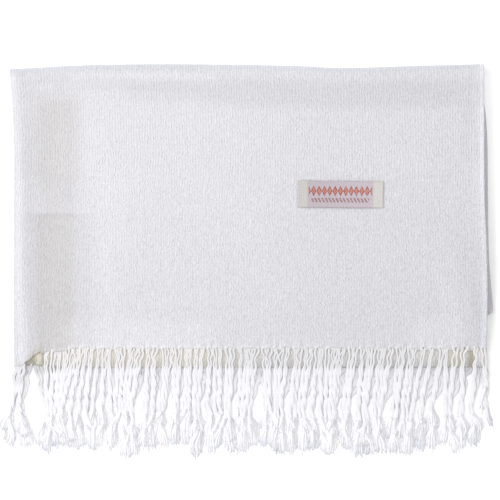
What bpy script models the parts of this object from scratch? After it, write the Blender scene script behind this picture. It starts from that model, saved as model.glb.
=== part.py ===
"""A silk shawl, folded flat, with its fringe laid out below it. Metres, +Z up.

The shawl is one woven panel. It is folded in half across its width, which makes the long fold on
the left, and then folded lengthwise into a packet. One end of it lies on top: two plies, which
come up over the packet, turn round the top fold and end in two woven edges with twisted fringe.
+X runs from the long fold to the selvedges, +Y from the fringe to the top fold. The packet rests
on the floor, which is z = 0.
"""
import math
import random

import bmesh
import bpy
from mathutils import Vector

MM = 0.001

# The outline from above
UNDER_EDGE = -77.0 * MM          # woven edge of the lower ply
FRONT_EDGE = -63.0 * MM          # woven edge of the front ply
MIDDLE = 60.0 * MM               # the panel above this line is drawn out to the wavy top fold
ROLL_LINE = 138.0 * MM           # where the plies start to turn round the top fold
ROLL_DEPTH = 5.0 * MM            # how far the top fold stands out past that line
ROLL_FOOT = 0.2 * MM             # the lowest the turned plies would reach

# Height of the front ply's face along the panel
FACE_HEIGHTS = (
    # along, height
    (-77.0 * MM, 2.9 * MM),
    (-63.0 * MM, 3.7 * MM),
    (-50.0 * MM, 5.3 * MM),
    (-36.0 * MM, 7.6 * MM),
    (-20.0 * MM, 9.3 * MM),
    (0.0 * MM, 10.1 * MM),
    (60.0 * MM, 10.4 * MM),
    (138.0 * MM, 10.8 * MM),
)
LEFT_EDGE = (
    # along, across
    (-77.0 * MM, -173.0 * MM),
    (80.0 * MM, -172.6 * MM),
    (120.0 * MM, -174.0 * MM),
    (138.0 * MM, -175.6 * MM),
)
RIGHT_EDGE = (
    # along, across
    (-77.0 * MM, 173.0 * MM),
    (-30.0 * MM, 173.6 * MM),
    (10.0 * MM, 173.0 * MM),
    (50.0 * MM, 171.4 * MM),
    (138.0 * MM, 171.0 * MM),
)
TOP_EDGE = (
    # across, along
    (-173.0 * MM, 140.9 * MM),
    (-110.0 * MM, 143.8 * MM),
    (-36.0 * MM, 144.2 * MM),
    (36.0 * MM, 142.9 * MM),
    (66.0 * MM, 141.5 * MM),
    (110.0 * MM, 142.7 * MM),
    (171.0 * MM, 144.4 * MM),
)

# Soft rolls (raised) and troughs (sunk), each along one edge of the packet
SOFT_FOLDS = (
    # edge, distance from it, half width, rise, starts, ends, fades over
    ("left", 5.5 * MM, 5.5 * MM, 1.2 * MM, -90.0 * MM, 150.0 * MM, 20.0 * MM),
    ("left", 27.0 * MM, 14.0 * MM, -1.5 * MM, -90.0 * MM, 70.0 * MM, 70.0 * MM),
    ("left", 82.0 * MM, 34.0 * MM, 0.7 * MM, -30.0 * MM, 100.0 * MM, 50.0 * MM),
    ("top", 19.0 * MM, 8.0 * MM, -0.9 * MM, -60.0 * MM, 150.0 * MM, 60.0 * MM),
    ("right", 2.0 * MM, 4.5 * MM, 0.6 * MM, -90.0 * MM, 130.0 * MM, 20.0 * MM),
    ("right", 13.0 * MM, 7.0 * MM, -0.9 * MM, -60.0 * MM, -25.0 * MM, 30.0 * MM),
)
FOLD_DROP = 1.6 * MM             # how far the face falls to the long fold
FOLD_DROP_WIDTH = 2.5 * MM
EDGE_FOLD_SHARE = 0.35           # how much of a roll or trough is left at the woven edges
EDGE_DROP_SHARE = 0.3
WAVES = (
    # height, length across, length up the panel: slow waves over the whole face
    (0.22 * MM, 118.0 * MM, 340.0 * MM),
    (0.13 * MM, -365.0 * MM, 73.0 * MM),
)

# Cloth
PLY = 1.0 * MM                   # thickness of a wall of cloth
SEAM = 0.3 * MM                  # clearance between neighbouring pieces
NOSE = 0.8 * MM                  # rounding of the two plies where they meet at the long fold
FRONT_DEPTH = 0.0
UNDER_DEPTH = PLY + SEAM
PACKET_DEPTH = 2.0 * (PLY + SEAM) + SEAM
FRONT_TURN = math.radians(168.0)  # how far each ply goes round the top fold
UNDER_TURN = math.radians(140.0)
PACKET_TURN = math.radians(90.0)
TURN_STEPS = 6
SLOPE_PROBE = 0.4 * MM           # the face's slope is read over this distance to each side
SHARP_ANGLE = math.radians(50.0)

# The front ply's woven edge runs down to the lower ply's edge beside the long fold
CORNER_DROP = 13.2 * MM
CORNER_RISE = 30.0 * MM          # over this height the rows above the corner straighten out

# Rows and columns of the walls
SLOPE_STEP = 7.0 * MM            # between rows where the plies come down to the floor
SLOPE_ROWS = 9
FACE_STEP = 14.0 * MM            # between rows on the packet
FACE_ROWS = 9
TOP_STEP = 7.0 * MM              # between rows near the top fold
CORNER_OUTER_COLUMN = 0.029      # the corner's slant runs between these two columns
CORNER_INNER_COLUMN = 0.058
EDGE_COLUMNS = (0.0, 0.006, 0.014, CORNER_OUTER_COLUMN, CORNER_INNER_COLUMN, 0.08, 0.11, 0.15)
MIDDLE_COLUMNS = (0.20, 0.27, 0.34, 0.42, 0.50, 0.58, 0.66, 0.74, 0.82)
SELVEDGE_COLUMNS = (0.88, 0.925, 0.955, 0.978, 0.991, 1.0)

# The folded layers under the two plies
LAYERS = 4
LAYER_EDGE = ((0.25, 1.0), (0.75, 1.0), (1.0, 0.0))  # one layer's edge: share down it, bulge
FLOOR_BULGE = 0.5                # what the lowest layer keeps of its bulge where it rests
LAYER_SETBACK = 1.4 * MM         # the layers end this far inside the plies' edges
LAYER_BULGE = 0.6 * MM           # each layer's round edge stands out this far from its groove
PACKET_START = -52.0 * MM
PACKET_SLANT = 4.6 * MM          # its back leans in under the turned plies
SLANT_START = 122.0 * MM
PEEK_LAYER = 2                   # counted from the top, 0 being the first
PEEK_TOP = 121.0 * MM            # the turned layer shows from here
PEEK_CORNER = -37.0 * MM         # down to here
PEEK_CORNER_RETURN = 2.2 * MM
PEEK_TOP_X = 170.8 * MM
PEEK_CORNER_X = 177.4 * MM

# The label
LABEL_CENTRE = (66.0 * MM, 49.0 * MM)
LABEL_SIZE = (63.0 * MM, 19.5 * MM)
LABEL_THICKNESS = 0.5 * MM
LABEL_TILT = math.radians(-0.4)
LABEL_COLUMNS = 9
LABEL_ROWS = 3
LABEL_EDGE_ROUND = 0.12 * MM

# The fringe
STRIP = 1.7 * MM                 # depth of the strip that holds the roots
FRINGE_MARGIN = 0.8 * MM         # between the strip's ends and the plies' edges
CORNER_SEAM = 0.6 * MM           # the strip's clearance where the woven edge is slanted
NECK = 4.6 * MM                  # the yarns are gathered within this distance of the strip
KNEE_Y = -106.0 * MM
CALF_SHARE = 0.55                # the calf lies this far from knee to tip
STRAND_WIDTH = 2.1 * MM
TIP_WIDTH = 2.4 * MM
STRAND_HEIGHT = 0.9 * MM
STRAND_PITCH = 2.85 * MM         # strands in a lock lie at least this far apart
LOCK_PITCH = 3.1 * MM
UNDER_STRAND_Z = 0.8 * MM        # middle of a strand that lies on the floor
FRONT_STRAND_Z = 2.2 * MM        # and of one that lies on the strands below it
STRAY = 0.35 * MM
REACH_STRAY = 1.6 * MM
SPREAD_PASSES = 60
FRINGE_LOCKS = (
    # strands, knee, tip, reach: sideways shift at the knee and the tip, length past the edge
    (2, -6.6 * MM, -1.5 * MM, 57.0 * MM),
    (2, -6.6 * MM, 0.0 * MM, 58.0 * MM),
    (3, 0.0 * MM, 1.5 * MM, 62.0 * MM),
    (3, -4.4 * MM, 0.7 * MM, 58.0 * MM),
    (3, -2.2 * MM, -2.9 * MM, 63.0 * MM),
    (2, -2.2 * MM, -2.9 * MM, 56.0 * MM),
    (3, -0.7 * MM, -6.6 * MM, 61.0 * MM),
    (3, -3.7 * MM, -2.9 * MM, 66.0 * MM),
    (2, -0.7 * MM, -1.5 * MM, 60.0 * MM),
    (2, -2.2 * MM, -2.2 * MM, 63.0 * MM),
    (2, -4.4 * MM, -2.9 * MM, 60.0 * MM),
    (2, -5.1 * MM, -2.9 * MM, 59.0 * MM),
    (2, -2.9 * MM, 5.1 * MM, 65.0 * MM),
    (3, 1.5 * MM, 1.5 * MM, 62.0 * MM),
    (2, -1.5 * MM, -2.9 * MM, 59.0 * MM),
    (2, -0.7 * MM, -1.5 * MM, 65.0 * MM),
    (2, -1.5 * MM, -0.7 * MM, 64.0 * MM),
    (3, 3.7 * MM, 5.1 * MM, 59.0 * MM),
    (2, -0.7 * MM, 1.5 * MM, 63.0 * MM),
    (3, 2.2 * MM, 0.7 * MM, 62.0 * MM),
    (2, -3.7 * MM, 0.7 * MM, 61.0 * MM),
    (3, -0.7 * MM, 0.0 * MM, 61.0 * MM),
    (2, -3.7 * MM, -2.9 * MM, 64.0 * MM),
    (2, -0.7 * MM, -1.5 * MM, 60.0 * MM),
    (2, 0.0 * MM, -0.7 * MM, 66.0 * MM),
    (2, -4.4 * MM, -2.9 * MM, 66.0 * MM),
    (2, -7.3 * MM, -0.7 * MM, 63.0 * MM),
    (3, -1.5 * MM, -2.2 * MM, 64.0 * MM),
    (3, -1.5 * MM, -2.2 * MM, 65.0 * MM),
    (2, -0.7 * MM, 2.9 * MM, 59.0 * MM),
    (2, 0.7 * MM, 2.9 * MM, 62.0 * MM),
    (3, 2.2 * MM, -0.7 * MM, 59.0 * MM),
    (2, -3.7 * MM, -0.7 * MM, 59.0 * MM),
    (1, 3.7 * MM, 2.9 * MM, 46.0 * MM),
)

# Finishes: base colour, roughness, metallic
CLOTH = ((0.80, 0.79, 0.83), 0.70, 0.0)
CLOTH_BELOW = ((0.72, 0.71, 0.72), 0.75, 0.0)
CLOTH_INSIDE = ((0.76, 0.75, 0.77), 0.75, 0.0)
YARN = ((0.82, 0.81, 0.85), 0.60, 0.0)
YARN_BELOW = ((0.78, 0.77, 0.82), 0.60, 0.0)
TAPE = ((0.83, 0.79, 0.78), 0.55, 0.0)


def clear_scene():
    for thing in list(bpy.data.objects):
        bpy.data.objects.remove(thing, do_unlink=True)


def mix(low, high, share):
    return low + (high - low) * share


def eased(share):
    share = min(1.0, max(0.0, share))
    return share * share * (3.0 - 2.0 * share)


def curve_value(rows, place):
    """Read a smooth curve through rows of (place, value)."""
    if place <= rows[0][0]:
        return rows[0][1]
    if place >= rows[-1][0]:
        return rows[-1][1]
    slopes = []
    for index in range(len(rows)):
        before = rows[max(index - 1, 0)]
        after = rows[min(index + 1, len(rows) - 1)]
        slopes.append((after[1] - before[1]) / (after[0] - before[0]))
    index = max(i for i in range(len(rows) - 1) if rows[i][0] <= place)
    (start, low), (end, high) = rows[index], rows[index + 1]
    span = end - start
    t = (place - start) / span
    return ((2.0 * t ** 3 - 3.0 * t ** 2 + 1.0) * low
            + (t ** 3 - 2.0 * t ** 2 + t) * span * slopes[index]
            + (3.0 * t ** 2 - 2.0 * t ** 3) * high
            + (t ** 3 - t ** 2) * span * slopes[index + 1])


# --- the shape of the cloth's face -------------------------------------------------------------

def soft_folds(x, y, edges):
    """Rise of the rolls and troughs at one point of the face."""
    rise = 0.0
    for edge, distance, half_width, height, starts, ends, fades in SOFT_FOLDS:
        run = x if edge == "top" else y
        shown = eased((run - starts + fades) / fades) * (1.0 - eased((run - ends) / fades))
        rise += height * shown * math.exp(-((edges[edge] - distance) / half_width) ** 2)
    return rise


def face_height(x, y, left, right):
    edges = {"left": x - left, "right": right - x, "top": curve_value(TOP_EDGE, x) - y}
    waves = sum(height * math.sin(math.tau * (x / across + y / along))
                for height, across, along in WAVES)
    # The waves and folds die out where the two plies come down to the floor.
    on_packet = eased(1.0 - y / FRONT_EDGE)
    drop = FOLD_DROP * math.exp(-max(edges["left"], 0.0) / FOLD_DROP_WIDTH)
    return (curve_value(FACE_HEIGHTS, y)
            + soft_folds(x, y, edges) * mix(EDGE_FOLD_SHARE, 1.0, on_packet)
            + waves * on_packet
            - drop * mix(EDGE_DROP_SHARE, 1.0, on_packet))


def face_point(across, along):
    """A point on the front ply's face.

    across runs from 0 at the long fold to 1 at the selvedges. along is a length up the panel,
    which past ROLL_LINE goes on round the top fold.
    """
    level = min(along, ROLL_LINE)
    left = curve_value(LEFT_EDGE, level)
    right = curve_value(RIGHT_EDGE, level)
    x = mix(left, right, across)
    turn_y = curve_value(TOP_EDGE, x) - ROLL_DEPTH
    drawn = max(0.0, level - MIDDLE) / (ROLL_LINE - MIDDLE)
    y = level + (turn_y - ROLL_LINE) * drawn
    z = face_height(x, y, left, right)
    if along > ROLL_LINE:
        angle = (along - ROLL_LINE) / ROLL_DEPTH
        half = 0.5 * (z - ROLL_FOOT)
        y += ROLL_DEPTH * math.sin(angle)
        z = ROLL_FOOT + half * (1.0 + math.cos(angle))
    return Vector((x, y, z))


def cloth_point(across, along, depth):
    """A point the given depth inside the face, square to the panel's length."""
    ahead = face_point(across, along + SLOPE_PROBE)
    behind = face_point(across, along - SLOPE_PROBE)
    inward = Vector((0.0, ahead.z - behind.z, behind.y - ahead.y)).normalized()
    return face_point(across, along) + inward * depth


def corner_shift(across):
    """How far the front ply's woven edge runs down beside the long fold."""
    share = (across - CORNER_OUTER_COLUMN) / (CORNER_INNER_COLUMN - CORNER_OUTER_COLUMN)
    return CORNER_DROP * (1.0 - min(1.0, max(0.0, share)))


def front_along(across, along):
    """Row of the front ply, slanted where its edge runs down beside the fold."""
    share = 1.0 - eased((along - FRONT_EDGE) / CORNER_RISE)
    return along - corner_shift(across) * share


def under_along(_across, along):
    return along


def panel_rows():
    """Lengths up the panel at which the plies have a row of points."""
    rows = [UNDER_EDGE + SLOPE_STEP * index for index in range(SLOPE_ROWS)]
    for _ in range(FACE_ROWS):
        rows.append(rows[-1] + FACE_STEP)
    while rows[-1] + TOP_STEP < ROLL_LINE:
        rows.append(rows[-1] + TOP_STEP)
    rows[-1] = ROLL_LINE
    return rows


def turn_rows(turn):
    """Lengths round the top fold, past ROLL_LINE."""
    return [ROLL_LINE + ROLL_DEPTH * turn * (index + 1) / TURN_STEPS for index in range(TURN_STEPS)]


# --- meshes and objects ------------------------------------------------------------------------

def material(name, finish):
    colour, roughness, metallic = finish
    made = bpy.data.materials.new(name)
    made.use_nodes = True
    shader = made.node_tree.nodes["Principled BSDF"]
    shader.inputs["Base Color"].default_value = (*colour, 1.0)
    shader.inputs["Roughness"].default_value = roughness
    shader.inputs["Metallic"].default_value = metallic
    made.diffuse_color = (*colour, 1.0)
    return made


def add_object(name, bm, finish):
    bmesh.ops.triangulate(bm, faces=bm.faces[:], quad_method="FIXED")
    bmesh.ops.recalc_face_normals(bm, faces=bm.faces[:])
    mesh = bpy.data.meshes.new(name)
    bm.to_mesh(mesh)
    bm.free()
    mesh.shade_smooth()
    mesh.set_sharp_from_angle(angle=SHARP_ANGLE)
    made = bpy.data.objects.new(name, mesh)
    made.data.materials.append(material(name + "_finish", finish))
    bpy.context.scene.collection.objects.link(made)
    return made


def numbered_grid(columns, rows):
    """A flat grid whose points know their own column and row."""
    bm = bmesh.new()
    bmesh.ops.create_grid(bm, x_segments=columns - 1, y_segments=rows - 1, size=0.5)
    column_of = bm.verts.layers.int.new("column")
    row_of = bm.verts.layers.int.new("row")
    for vert in bm.verts:
        vert[column_of] = round((vert.co.x + 0.5) * (columns - 1))
        vert[row_of] = round((vert.co.y + 0.5) * (rows - 1))
    return bm, column_of, row_of


def wall_of_cloth(name, rows, along_of, depth, nose_on_top, finish):
    """A closed wall, one ply thick, at its depth below the face."""
    columns = EDGE_COLUMNS + MIDDLE_COLUMNS + SELVEDGE_COLUMNS
    bm, column_of, row_of = numbered_grid(len(columns), len(rows))

    def place(verts, at_depth, nose):
        for vert in verts:
            across = columns[vert[column_of]]
            vert.co = cloth_point(across, along_of(across, rows[vert[row_of]]), at_depth)
            if vert[column_of] == 0:
                vert.co.x += nose

    place(bm.verts, depth, NOSE if nose_on_top else 0.0)
    grown = bmesh.ops.extrude_face_region(bm, geom=bm.faces[:])["geom"]
    inner = [item for item in grown if isinstance(item, bmesh.types.BMVert)]
    place(inner, depth + PLY, 0.0 if nose_on_top else NOSE)
    return add_object(name, bm, finish)


def front_ply():
    rows = [row for row in panel_rows() if row > FRONT_EDGE - 0.5 * SLOPE_STEP]
    return wall_of_cloth("front_ply", rows + turn_rows(FRONT_TURN), front_along,
                         FRONT_DEPTH, True, CLOTH)


def under_ply():
    return wall_of_cloth("under_ply", panel_rows() + turn_rows(UNDER_TURN), under_along,
                         UNDER_DEPTH, False, CLOTH_BELOW)


# --- the folded layers -------------------------------------------------------------------------

def packet_rows():
    """Rows of the folded layers, with one on each side of the corner that peeks out."""
    rows = [PACKET_START]
    rows += [row for row in panel_rows() if row > PACKET_START + 0.5 * SLOPE_STEP]
    rows += [PEEK_CORNER, PEEK_CORNER - PEEK_CORNER_RETURN, PEEK_TOP]
    rows += turn_rows(PACKET_TURN)[1::2]
    return sorted(rows)


def layer_rings():
    """Steps down the packet's side: share of the height left, bulge, and the layer it is on."""
    rings = [(1.0 - (layer + share) / LAYERS, bulge, layer)
             for layer in range(LAYERS) for share, bulge in LAYER_EDGE]
    rings[-1] = (0.0, FLOOR_BULGE, LAYERS - 1)
    return rings


def peek_reach(y):
    """Where the turned layer's edge lies on the right, or None where it is hidden."""
    if y < PEEK_CORNER or y > PEEK_TOP:
        return None
    return mix(PEEK_CORNER_X, PEEK_TOP_X, (y - PEEK_CORNER) / (PEEK_TOP - PEEK_CORNER))


def folded_layers():
    rows = packet_rows()
    inset = LAYER_SETBACK / (RIGHT_EDGE[0][1] - LEFT_EDGE[0][1])
    columns = [mix(inset, 1.0 - inset, column)
               for column in EDGE_COLUMNS[::2] + MIDDLE_COLUMNS + SELVEDGE_COLUMNS[1::2]]
    last_column = len(columns) - 1
    last_row = len(rows) - 1
    bm, column_of, row_of = numbered_grid(len(columns), len(rows))
    for vert in bm.verts:
        vert.co = cloth_point(columns[vert[column_of]], rows[vert[row_of]], PACKET_DEPTH)
    rim = [edge for edge in bm.edges if edge.is_boundary]
    rim_top = {}
    for edge in rim:
        for vert in edge.verts:
            rim_top[(vert[column_of], vert[row_of])] = vert.co.copy()
    for height_share, bulge, layer in layer_rings():
        grown = bmesh.ops.extrude_edge_only(bm, edges=rim)["geom"]
        rim = [item for item in grown if isinstance(item, bmesh.types.BMEdge) and item.is_boundary]
        for vert in (item for item in grown if isinstance(item, bmesh.types.BMVert)):
            column, row = vert[column_of], vert[row_of]
            start = rim_top[(column, row)]
            side = (column == last_column) - (column == 0)
            x = start.x + side * bulge * LAYER_BULGE
            y = start.y - (row == 0) * bulge * LAYER_BULGE
            slant = eased((rows[row] - SLANT_START) / (ROLL_LINE - SLANT_START))
            y -= slant * PACKET_SLANT * (1.0 - height_share)
            reach = peek_reach(rows[row])
            if side > 0 and layer == PEEK_LAYER and bulge > 0.0 and reach is not None:
                x = max(x, reach)
            vert.co = Vector((x, y, start.z * height_share))
    bmesh.ops.holes_fill(bm, edges=rim, sides=len(rim))
    return add_object("folded_layers", bm, CLOTH_INSIDE)


# --- the label ---------------------------------------------------------------------------------

def label():
    """A woven tape label, laid on points of the front ply and moved out from them."""
    bm, column_of, row_of = numbered_grid(LABEL_COLUMNS, LABEL_ROWS)

    def place(verts, depth):
        for vert in verts:
            u = (vert[column_of] / (LABEL_COLUMNS - 1) - 0.5) * LABEL_SIZE[0]
            v = (vert[row_of] / (LABEL_ROWS - 1) - 0.5) * LABEL_SIZE[1]
            x = LABEL_CENTRE[0] + u * math.cos(LABEL_TILT) - v * math.sin(LABEL_TILT)
            y = LABEL_CENTRE[1] + u * math.sin(LABEL_TILT) + v * math.cos(LABEL_TILT)
            left = curve_value(LEFT_EDGE, y)
            across = (x - left) / (curve_value(RIGHT_EDGE, y) - left)
            vert.co = cloth_point(across, y, depth)

    place(bm.verts, -SEAM - LABEL_THICKNESS)
    rim = [edge for edge in bm.edges if edge.is_boundary]
    grown = bmesh.ops.extrude_face_region(bm, geom=bm.faces[:])["geom"]
    place([item for item in grown if isinstance(item, bmesh.types.BMVert)], -SEAM)
    bmesh.ops.bevel(bm, geom=rim, offset=LABEL_EDGE_ROUND, offset_type="OFFSET",
                    affect="EDGES", segments=1, profile=0.5, material=-1)
    return add_object("label", bm, TAPE)


# --- the fringe --------------------------------------------------------------------------------

def laid_apart(places, pitch):
    """Push neighbours apart until none is closer than the pitch, keeping their order."""
    placed = list(places)
    for _ in range(SPREAD_PASSES):
        for index in range(len(placed) - 1):
            short = pitch - (placed[index + 1] - placed[index])
            if short > 0.0:
                placed[index] -= 0.5 * short
                placed[index + 1] += 0.5 * short
    return placed


def strand_lanes(seed, left, width, edge_y):
    """Where every strand passes, lock by lock: its knee and its tip."""
    stray = random.Random(seed)
    count = sum(lock[0] for lock in FRINGE_LOCKS)
    knees, tips, lengths = [], [], []
    for strands, knee, tip, reach in FRINGE_LOCKS:
        centre = left + width * (len(knees) + 0.5 * strands) / count
        for index in range(strands):
            aside = (index - 0.5 * (strands - 1)) * LOCK_PITCH
            knees.append(centre + aside + knee + stray.uniform(-STRAY, STRAY))
            tips.append(centre + aside + tip + stray.uniform(-STRAY, STRAY))
            lengths.append(reach + stray.uniform(-REACH_STRAY, REACH_STRAY))
    knees = laid_apart(knees, STRAND_PITCH)
    tips = laid_apart(tips, STRAND_PITCH)
    return [(Vector((knee, KNEE_Y)), Vector((tip, edge_y - length)))
            for knee, tip, length in zip(knees, tips, lengths)]


def draw_strand(bm, root, corners, knee, tip, floor_z):
    """Draw one strand out of its root face, down past the knee to its frayed tip."""
    middle = root.calc_center_median()
    slope = (middle.z - floor_z) / (middle.y - knee.y)
    calf = knee.lerp(tip, CALF_SHARE)
    stages = (
        # middle of the section, width
        (Vector((middle.x, middle.y - NECK, middle.z - NECK * slope)), STRAND_WIDTH),
        (knee.to_3d() + Vector((0.0, 0.0, floor_z)), STRAND_WIDTH),
        (calf.to_3d() + Vector((0.0, 0.0, floor_z)), STRAND_WIDTH),
        (tip.to_3d() + Vector((0.0, 0.0, floor_z)), TIP_WIDTH),
    )
    face = root
    for centre, width in stages:
        face = bmesh.ops.extrude_discrete_faces(bm, faces=[face])["faces"][0]
        for vert, (aside, up) in zip(face.verts, corners):
            vert.co = centre + Vector((aside * width, 0.0, up * STRAND_HEIGHT))


def fringe(name, along_of, edge, depth, floor_z, seed, finish):
    """A strip parted from a woven edge, with every strand drawn out of it."""
    count = sum(lock[0] for lock in FRINGE_LOCKS)
    margin = FRINGE_MARGIN / (RIGHT_EDGE[0][1] - LEFT_EDGE[0][1])
    shares = [mix(margin, 1.0 - margin, index / count) for index in range(count + 1)]

    def section(share):
        """The strip's section: back top, back foot, front foot, front top."""
        back = along_of(share, edge) - (SEAM if share > CORNER_INNER_COLUMN else CORNER_SEAM)
        front = back - STRIP
        return (cloth_point(share, back, depth), cloth_point(share, back, depth + PLY),
                cloth_point(share, front, depth + PLY), cloth_point(share, front, depth))

    bm = bmesh.new()
    station_of = bm.verts.layers.int.new("station")
    corner_of = bm.verts.layers.int.new("corner")
    start = [bm.verts.new(corner) for corner in section(shares[0])]
    for number, vert in enumerate(start):
        vert[corner_of] = number
    face = bm.faces.new(start)
    bmesh.ops.duplicate(bm, geom=[face])
    for station in range(1, count + 1):
        face = bmesh.ops.extrude_discrete_faces(bm, faces=[face])["faces"][0]
        for vert in face.verts:
            vert[station_of] = station
            vert.co = section(shares[station])[vert[corner_of]]
    bmesh.ops.remove_doubles(bm, verts=bm.verts[:], dist=0.001 * MM)

    left = cloth_point(shares[0], edge, depth).x
    width = cloth_point(shares[-1], edge, depth).x - left
    lanes = strand_lanes(seed, left, width, edge)
    roots = [face for face in bm.faces
             if sorted(vert[corner_of] for vert in face.verts) == [2, 2, 3, 3]]
    for root in roots:
        index = min(vert[station_of] for vert in root.verts)
        corners = [(vert[station_of] - index - 0.5, vert[corner_of] - 2.5) for vert in root.verts]
        knee, tip = lanes[index]
        draw_strand(bm, root, corners, knee, tip, floor_z)
    return add_object(name, bm, finish)


def front_fringe():
    return fringe("front_fringe", front_along, FRONT_EDGE, FRONT_DEPTH, FRONT_STRAND_Z, 11, YARN)


def under_fringe():
    return fringe("under_fringe", under_along, UNDER_EDGE, UNDER_DEPTH, UNDER_STRAND_Z, 23,
                  YARN_BELOW)


def build():
    clear_scene()
    folded_layers()
    under_ply()
    front_ply()
    label()
    under_fringe()
    front_fringe()


build()
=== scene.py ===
"""A silk shawl, folded flat with its fringe laid out: the looks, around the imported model.

Metres, +Z up. +X runs from the long fold to the selvedges, +Y from the fringe to the top fold, and
the packet rests on the floor, which is z = 0.
"""
import random
from math import copysign, cos, exp, pi, radians, sin, sqrt, tau
from types import SimpleNamespace

import bmesh
import bpy
from bpy.props import FloatProperty, FloatVectorProperty, IntProperty, PointerProperty
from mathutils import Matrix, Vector, noise


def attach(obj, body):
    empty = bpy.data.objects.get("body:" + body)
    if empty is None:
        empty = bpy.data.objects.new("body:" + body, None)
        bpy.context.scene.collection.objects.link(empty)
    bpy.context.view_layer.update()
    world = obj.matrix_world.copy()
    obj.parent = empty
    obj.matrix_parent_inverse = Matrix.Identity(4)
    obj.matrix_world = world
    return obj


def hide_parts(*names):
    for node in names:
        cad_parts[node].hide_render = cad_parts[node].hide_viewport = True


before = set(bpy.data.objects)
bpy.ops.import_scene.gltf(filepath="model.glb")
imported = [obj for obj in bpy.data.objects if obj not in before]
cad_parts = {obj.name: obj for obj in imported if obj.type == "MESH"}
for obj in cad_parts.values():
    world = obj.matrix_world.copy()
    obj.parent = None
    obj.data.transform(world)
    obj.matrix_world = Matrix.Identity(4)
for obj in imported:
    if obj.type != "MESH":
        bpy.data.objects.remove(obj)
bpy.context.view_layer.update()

bl_info = {
    "name": "Folded silk shawl",
    "version": (1, 0, 0),
    "blender": (4, 5, 0),
    "location": "3D View > Sidebar > Shawl",
    "description": "Cloth, fringe and label of a folded silk shawl, and the floor it lies on",
    "category": "Add Mesh",
}

MM = 0.001


def in_metres(rows, plain=()):
    """Rows of millimetres in metres. Words and the plain columns stay as they are."""
    return tuple(tuple(value if column in plain or isinstance(value, str) else value * MM
                       for column, value in enumerate(row)) for row in rows)


# --- the packet's shape, as in the part's source

UNDER_EDGE = -77.0 * MM  # woven edge of the lower ply
FRONT_EDGE = -63.0 * MM  # woven edge of the front ply
MIDDLE = 60.0 * MM  # the panel above this line is drawn out to the wavy top fold
ROLL_LINE = 138.0 * MM  # where the plies start to turn round the top fold
ROLL_DEPTH = 5.0 * MM  # how far the top fold stands out past that line
ROLL_FOOT = 0.2 * MM
FRONT_TURN = radians(172.0)
UNDER_TURN = radians(140.0)
SLOPE_PROBE = 0.4 * MM  # the face's slope is read over this distance to each side

FACE_HEIGHTS = in_metres((
    # along, height
    (-77, 2.9), (-63, 3.7), (-50, 5.3), (-36, 7.6), (-20, 9.3), (0, 10.1), (60, 10.4),
    (138, 10.8),
))
LEFT_EDGE = in_metres((
    # along, across
    (-77, -173), (80, -172.6), (120, -174), (138, -175.6),
))
RIGHT_EDGE = in_metres((
    # along, across
    (-77, 173), (-30, 173.6), (10, 173), (50, 171.4), (138, 171),
))
TOP_EDGE = in_metres((
    # across, along
    (-173, 140.9), (-110, 143.8), (-36, 144.2), (36, 142.9), (66, 141.5), (110, 142.7),
    (171, 144.4),
))
SOFT_FOLDS = in_metres((
    # edge, distance from it, half width, rise, starts, ends, fades over
    ("left", 5, 4.5, 1.3, -90, 150, 20), ("left", 25, 15, -1.5, -90, 60, 60),
    ("left", 30, 20, -0.8, 40, 125, 30), ("left", 82, 34, 0.7, -30, 100, 50),
    ("top", 9.5, 4.5, 0.35, -170, 40, 60), ("top", 19, 8, -0.9, -60, 150, 60),
    ("right", 3, 3.5, 0.5, -90, 130, 20), ("right", 12, 6, -1.1, -80, -5, 40),
))
FOLD_DROP = 1.1 * MM  # how far the face falls to the long fold
FOLD_DROP_WIDTH = 2.5 * MM
EDGE_FOLD_SHARE = 0.35  # how much of a roll or trough is left at the woven edges
EDGE_DROP_SHARE = 0.3
WAVES = in_metres((
    # height, length across, length up the panel: slow waves over the whole face
    (0.22, 118, 340), (0.13, -365, 73),
))
# Soft creases of the face: a run of points, half width and rise, fading at both ends
CREASES = (
    # start, middle, end, half width, rise
    ((-168, 35.6), (0, 35.2), (171, 35.9), 2.6, 0.16),
    ((-165, 33.8), (-148, 33.6), (-128, 33.4), 1.8, -0.22),
    ((-120, 122), (-80, 119), (-30, 121), 5, -0.12),
    ((-158, 118), (-150, 90), (-156, 60), 5, 0.16), ((60, 96), (110, 78), (168, 86), 9, -0.16),
    ((96, 130), (128, 96), (134, 62), 7, 0.14), ((84, -8), (88, -34), (82, -58), 6, -0.16),
    ((120, 24), (140, -6), (146, -40), 7, 0.15), ((-60, 16), (-52, -16), (-62, -50), 8, 0.13),
    ((-20, 6), (6, -18), (12, -52), 7, -0.12), ((152, -14), (158, -34), (163, -60), 3.2, -0.35),
    ((-96, 28), (-101, -10), (-97, -56), 5, 0.14),
)
CREASE_FADE = 0.28  # share of a crease's run over which it fades at each end

# The front ply's woven edge runs down to the lower ply's edge beside the long fold
CORNER_DROPS = in_metres((
    # across, how far down
    (-166, 12.8), (-163, 9.6), (-160.6, 6.8), (-158, 4.6), (-155.5, 3.2), (-151, 2.7),
    (-139, 2.4), (-134.5, 1.3), (-130, 0),
))
CORNER_RISE = 30.0 * MM
UNDER_DROPS = in_metres((
    # across, how far the lower ply's woven edge runs down
    (-172, -1.2), (-157, -1), (-143, 0), (-128, 0.7), (172, 0.5),
))
UNDER_RISE = 10.0 * MM

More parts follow.
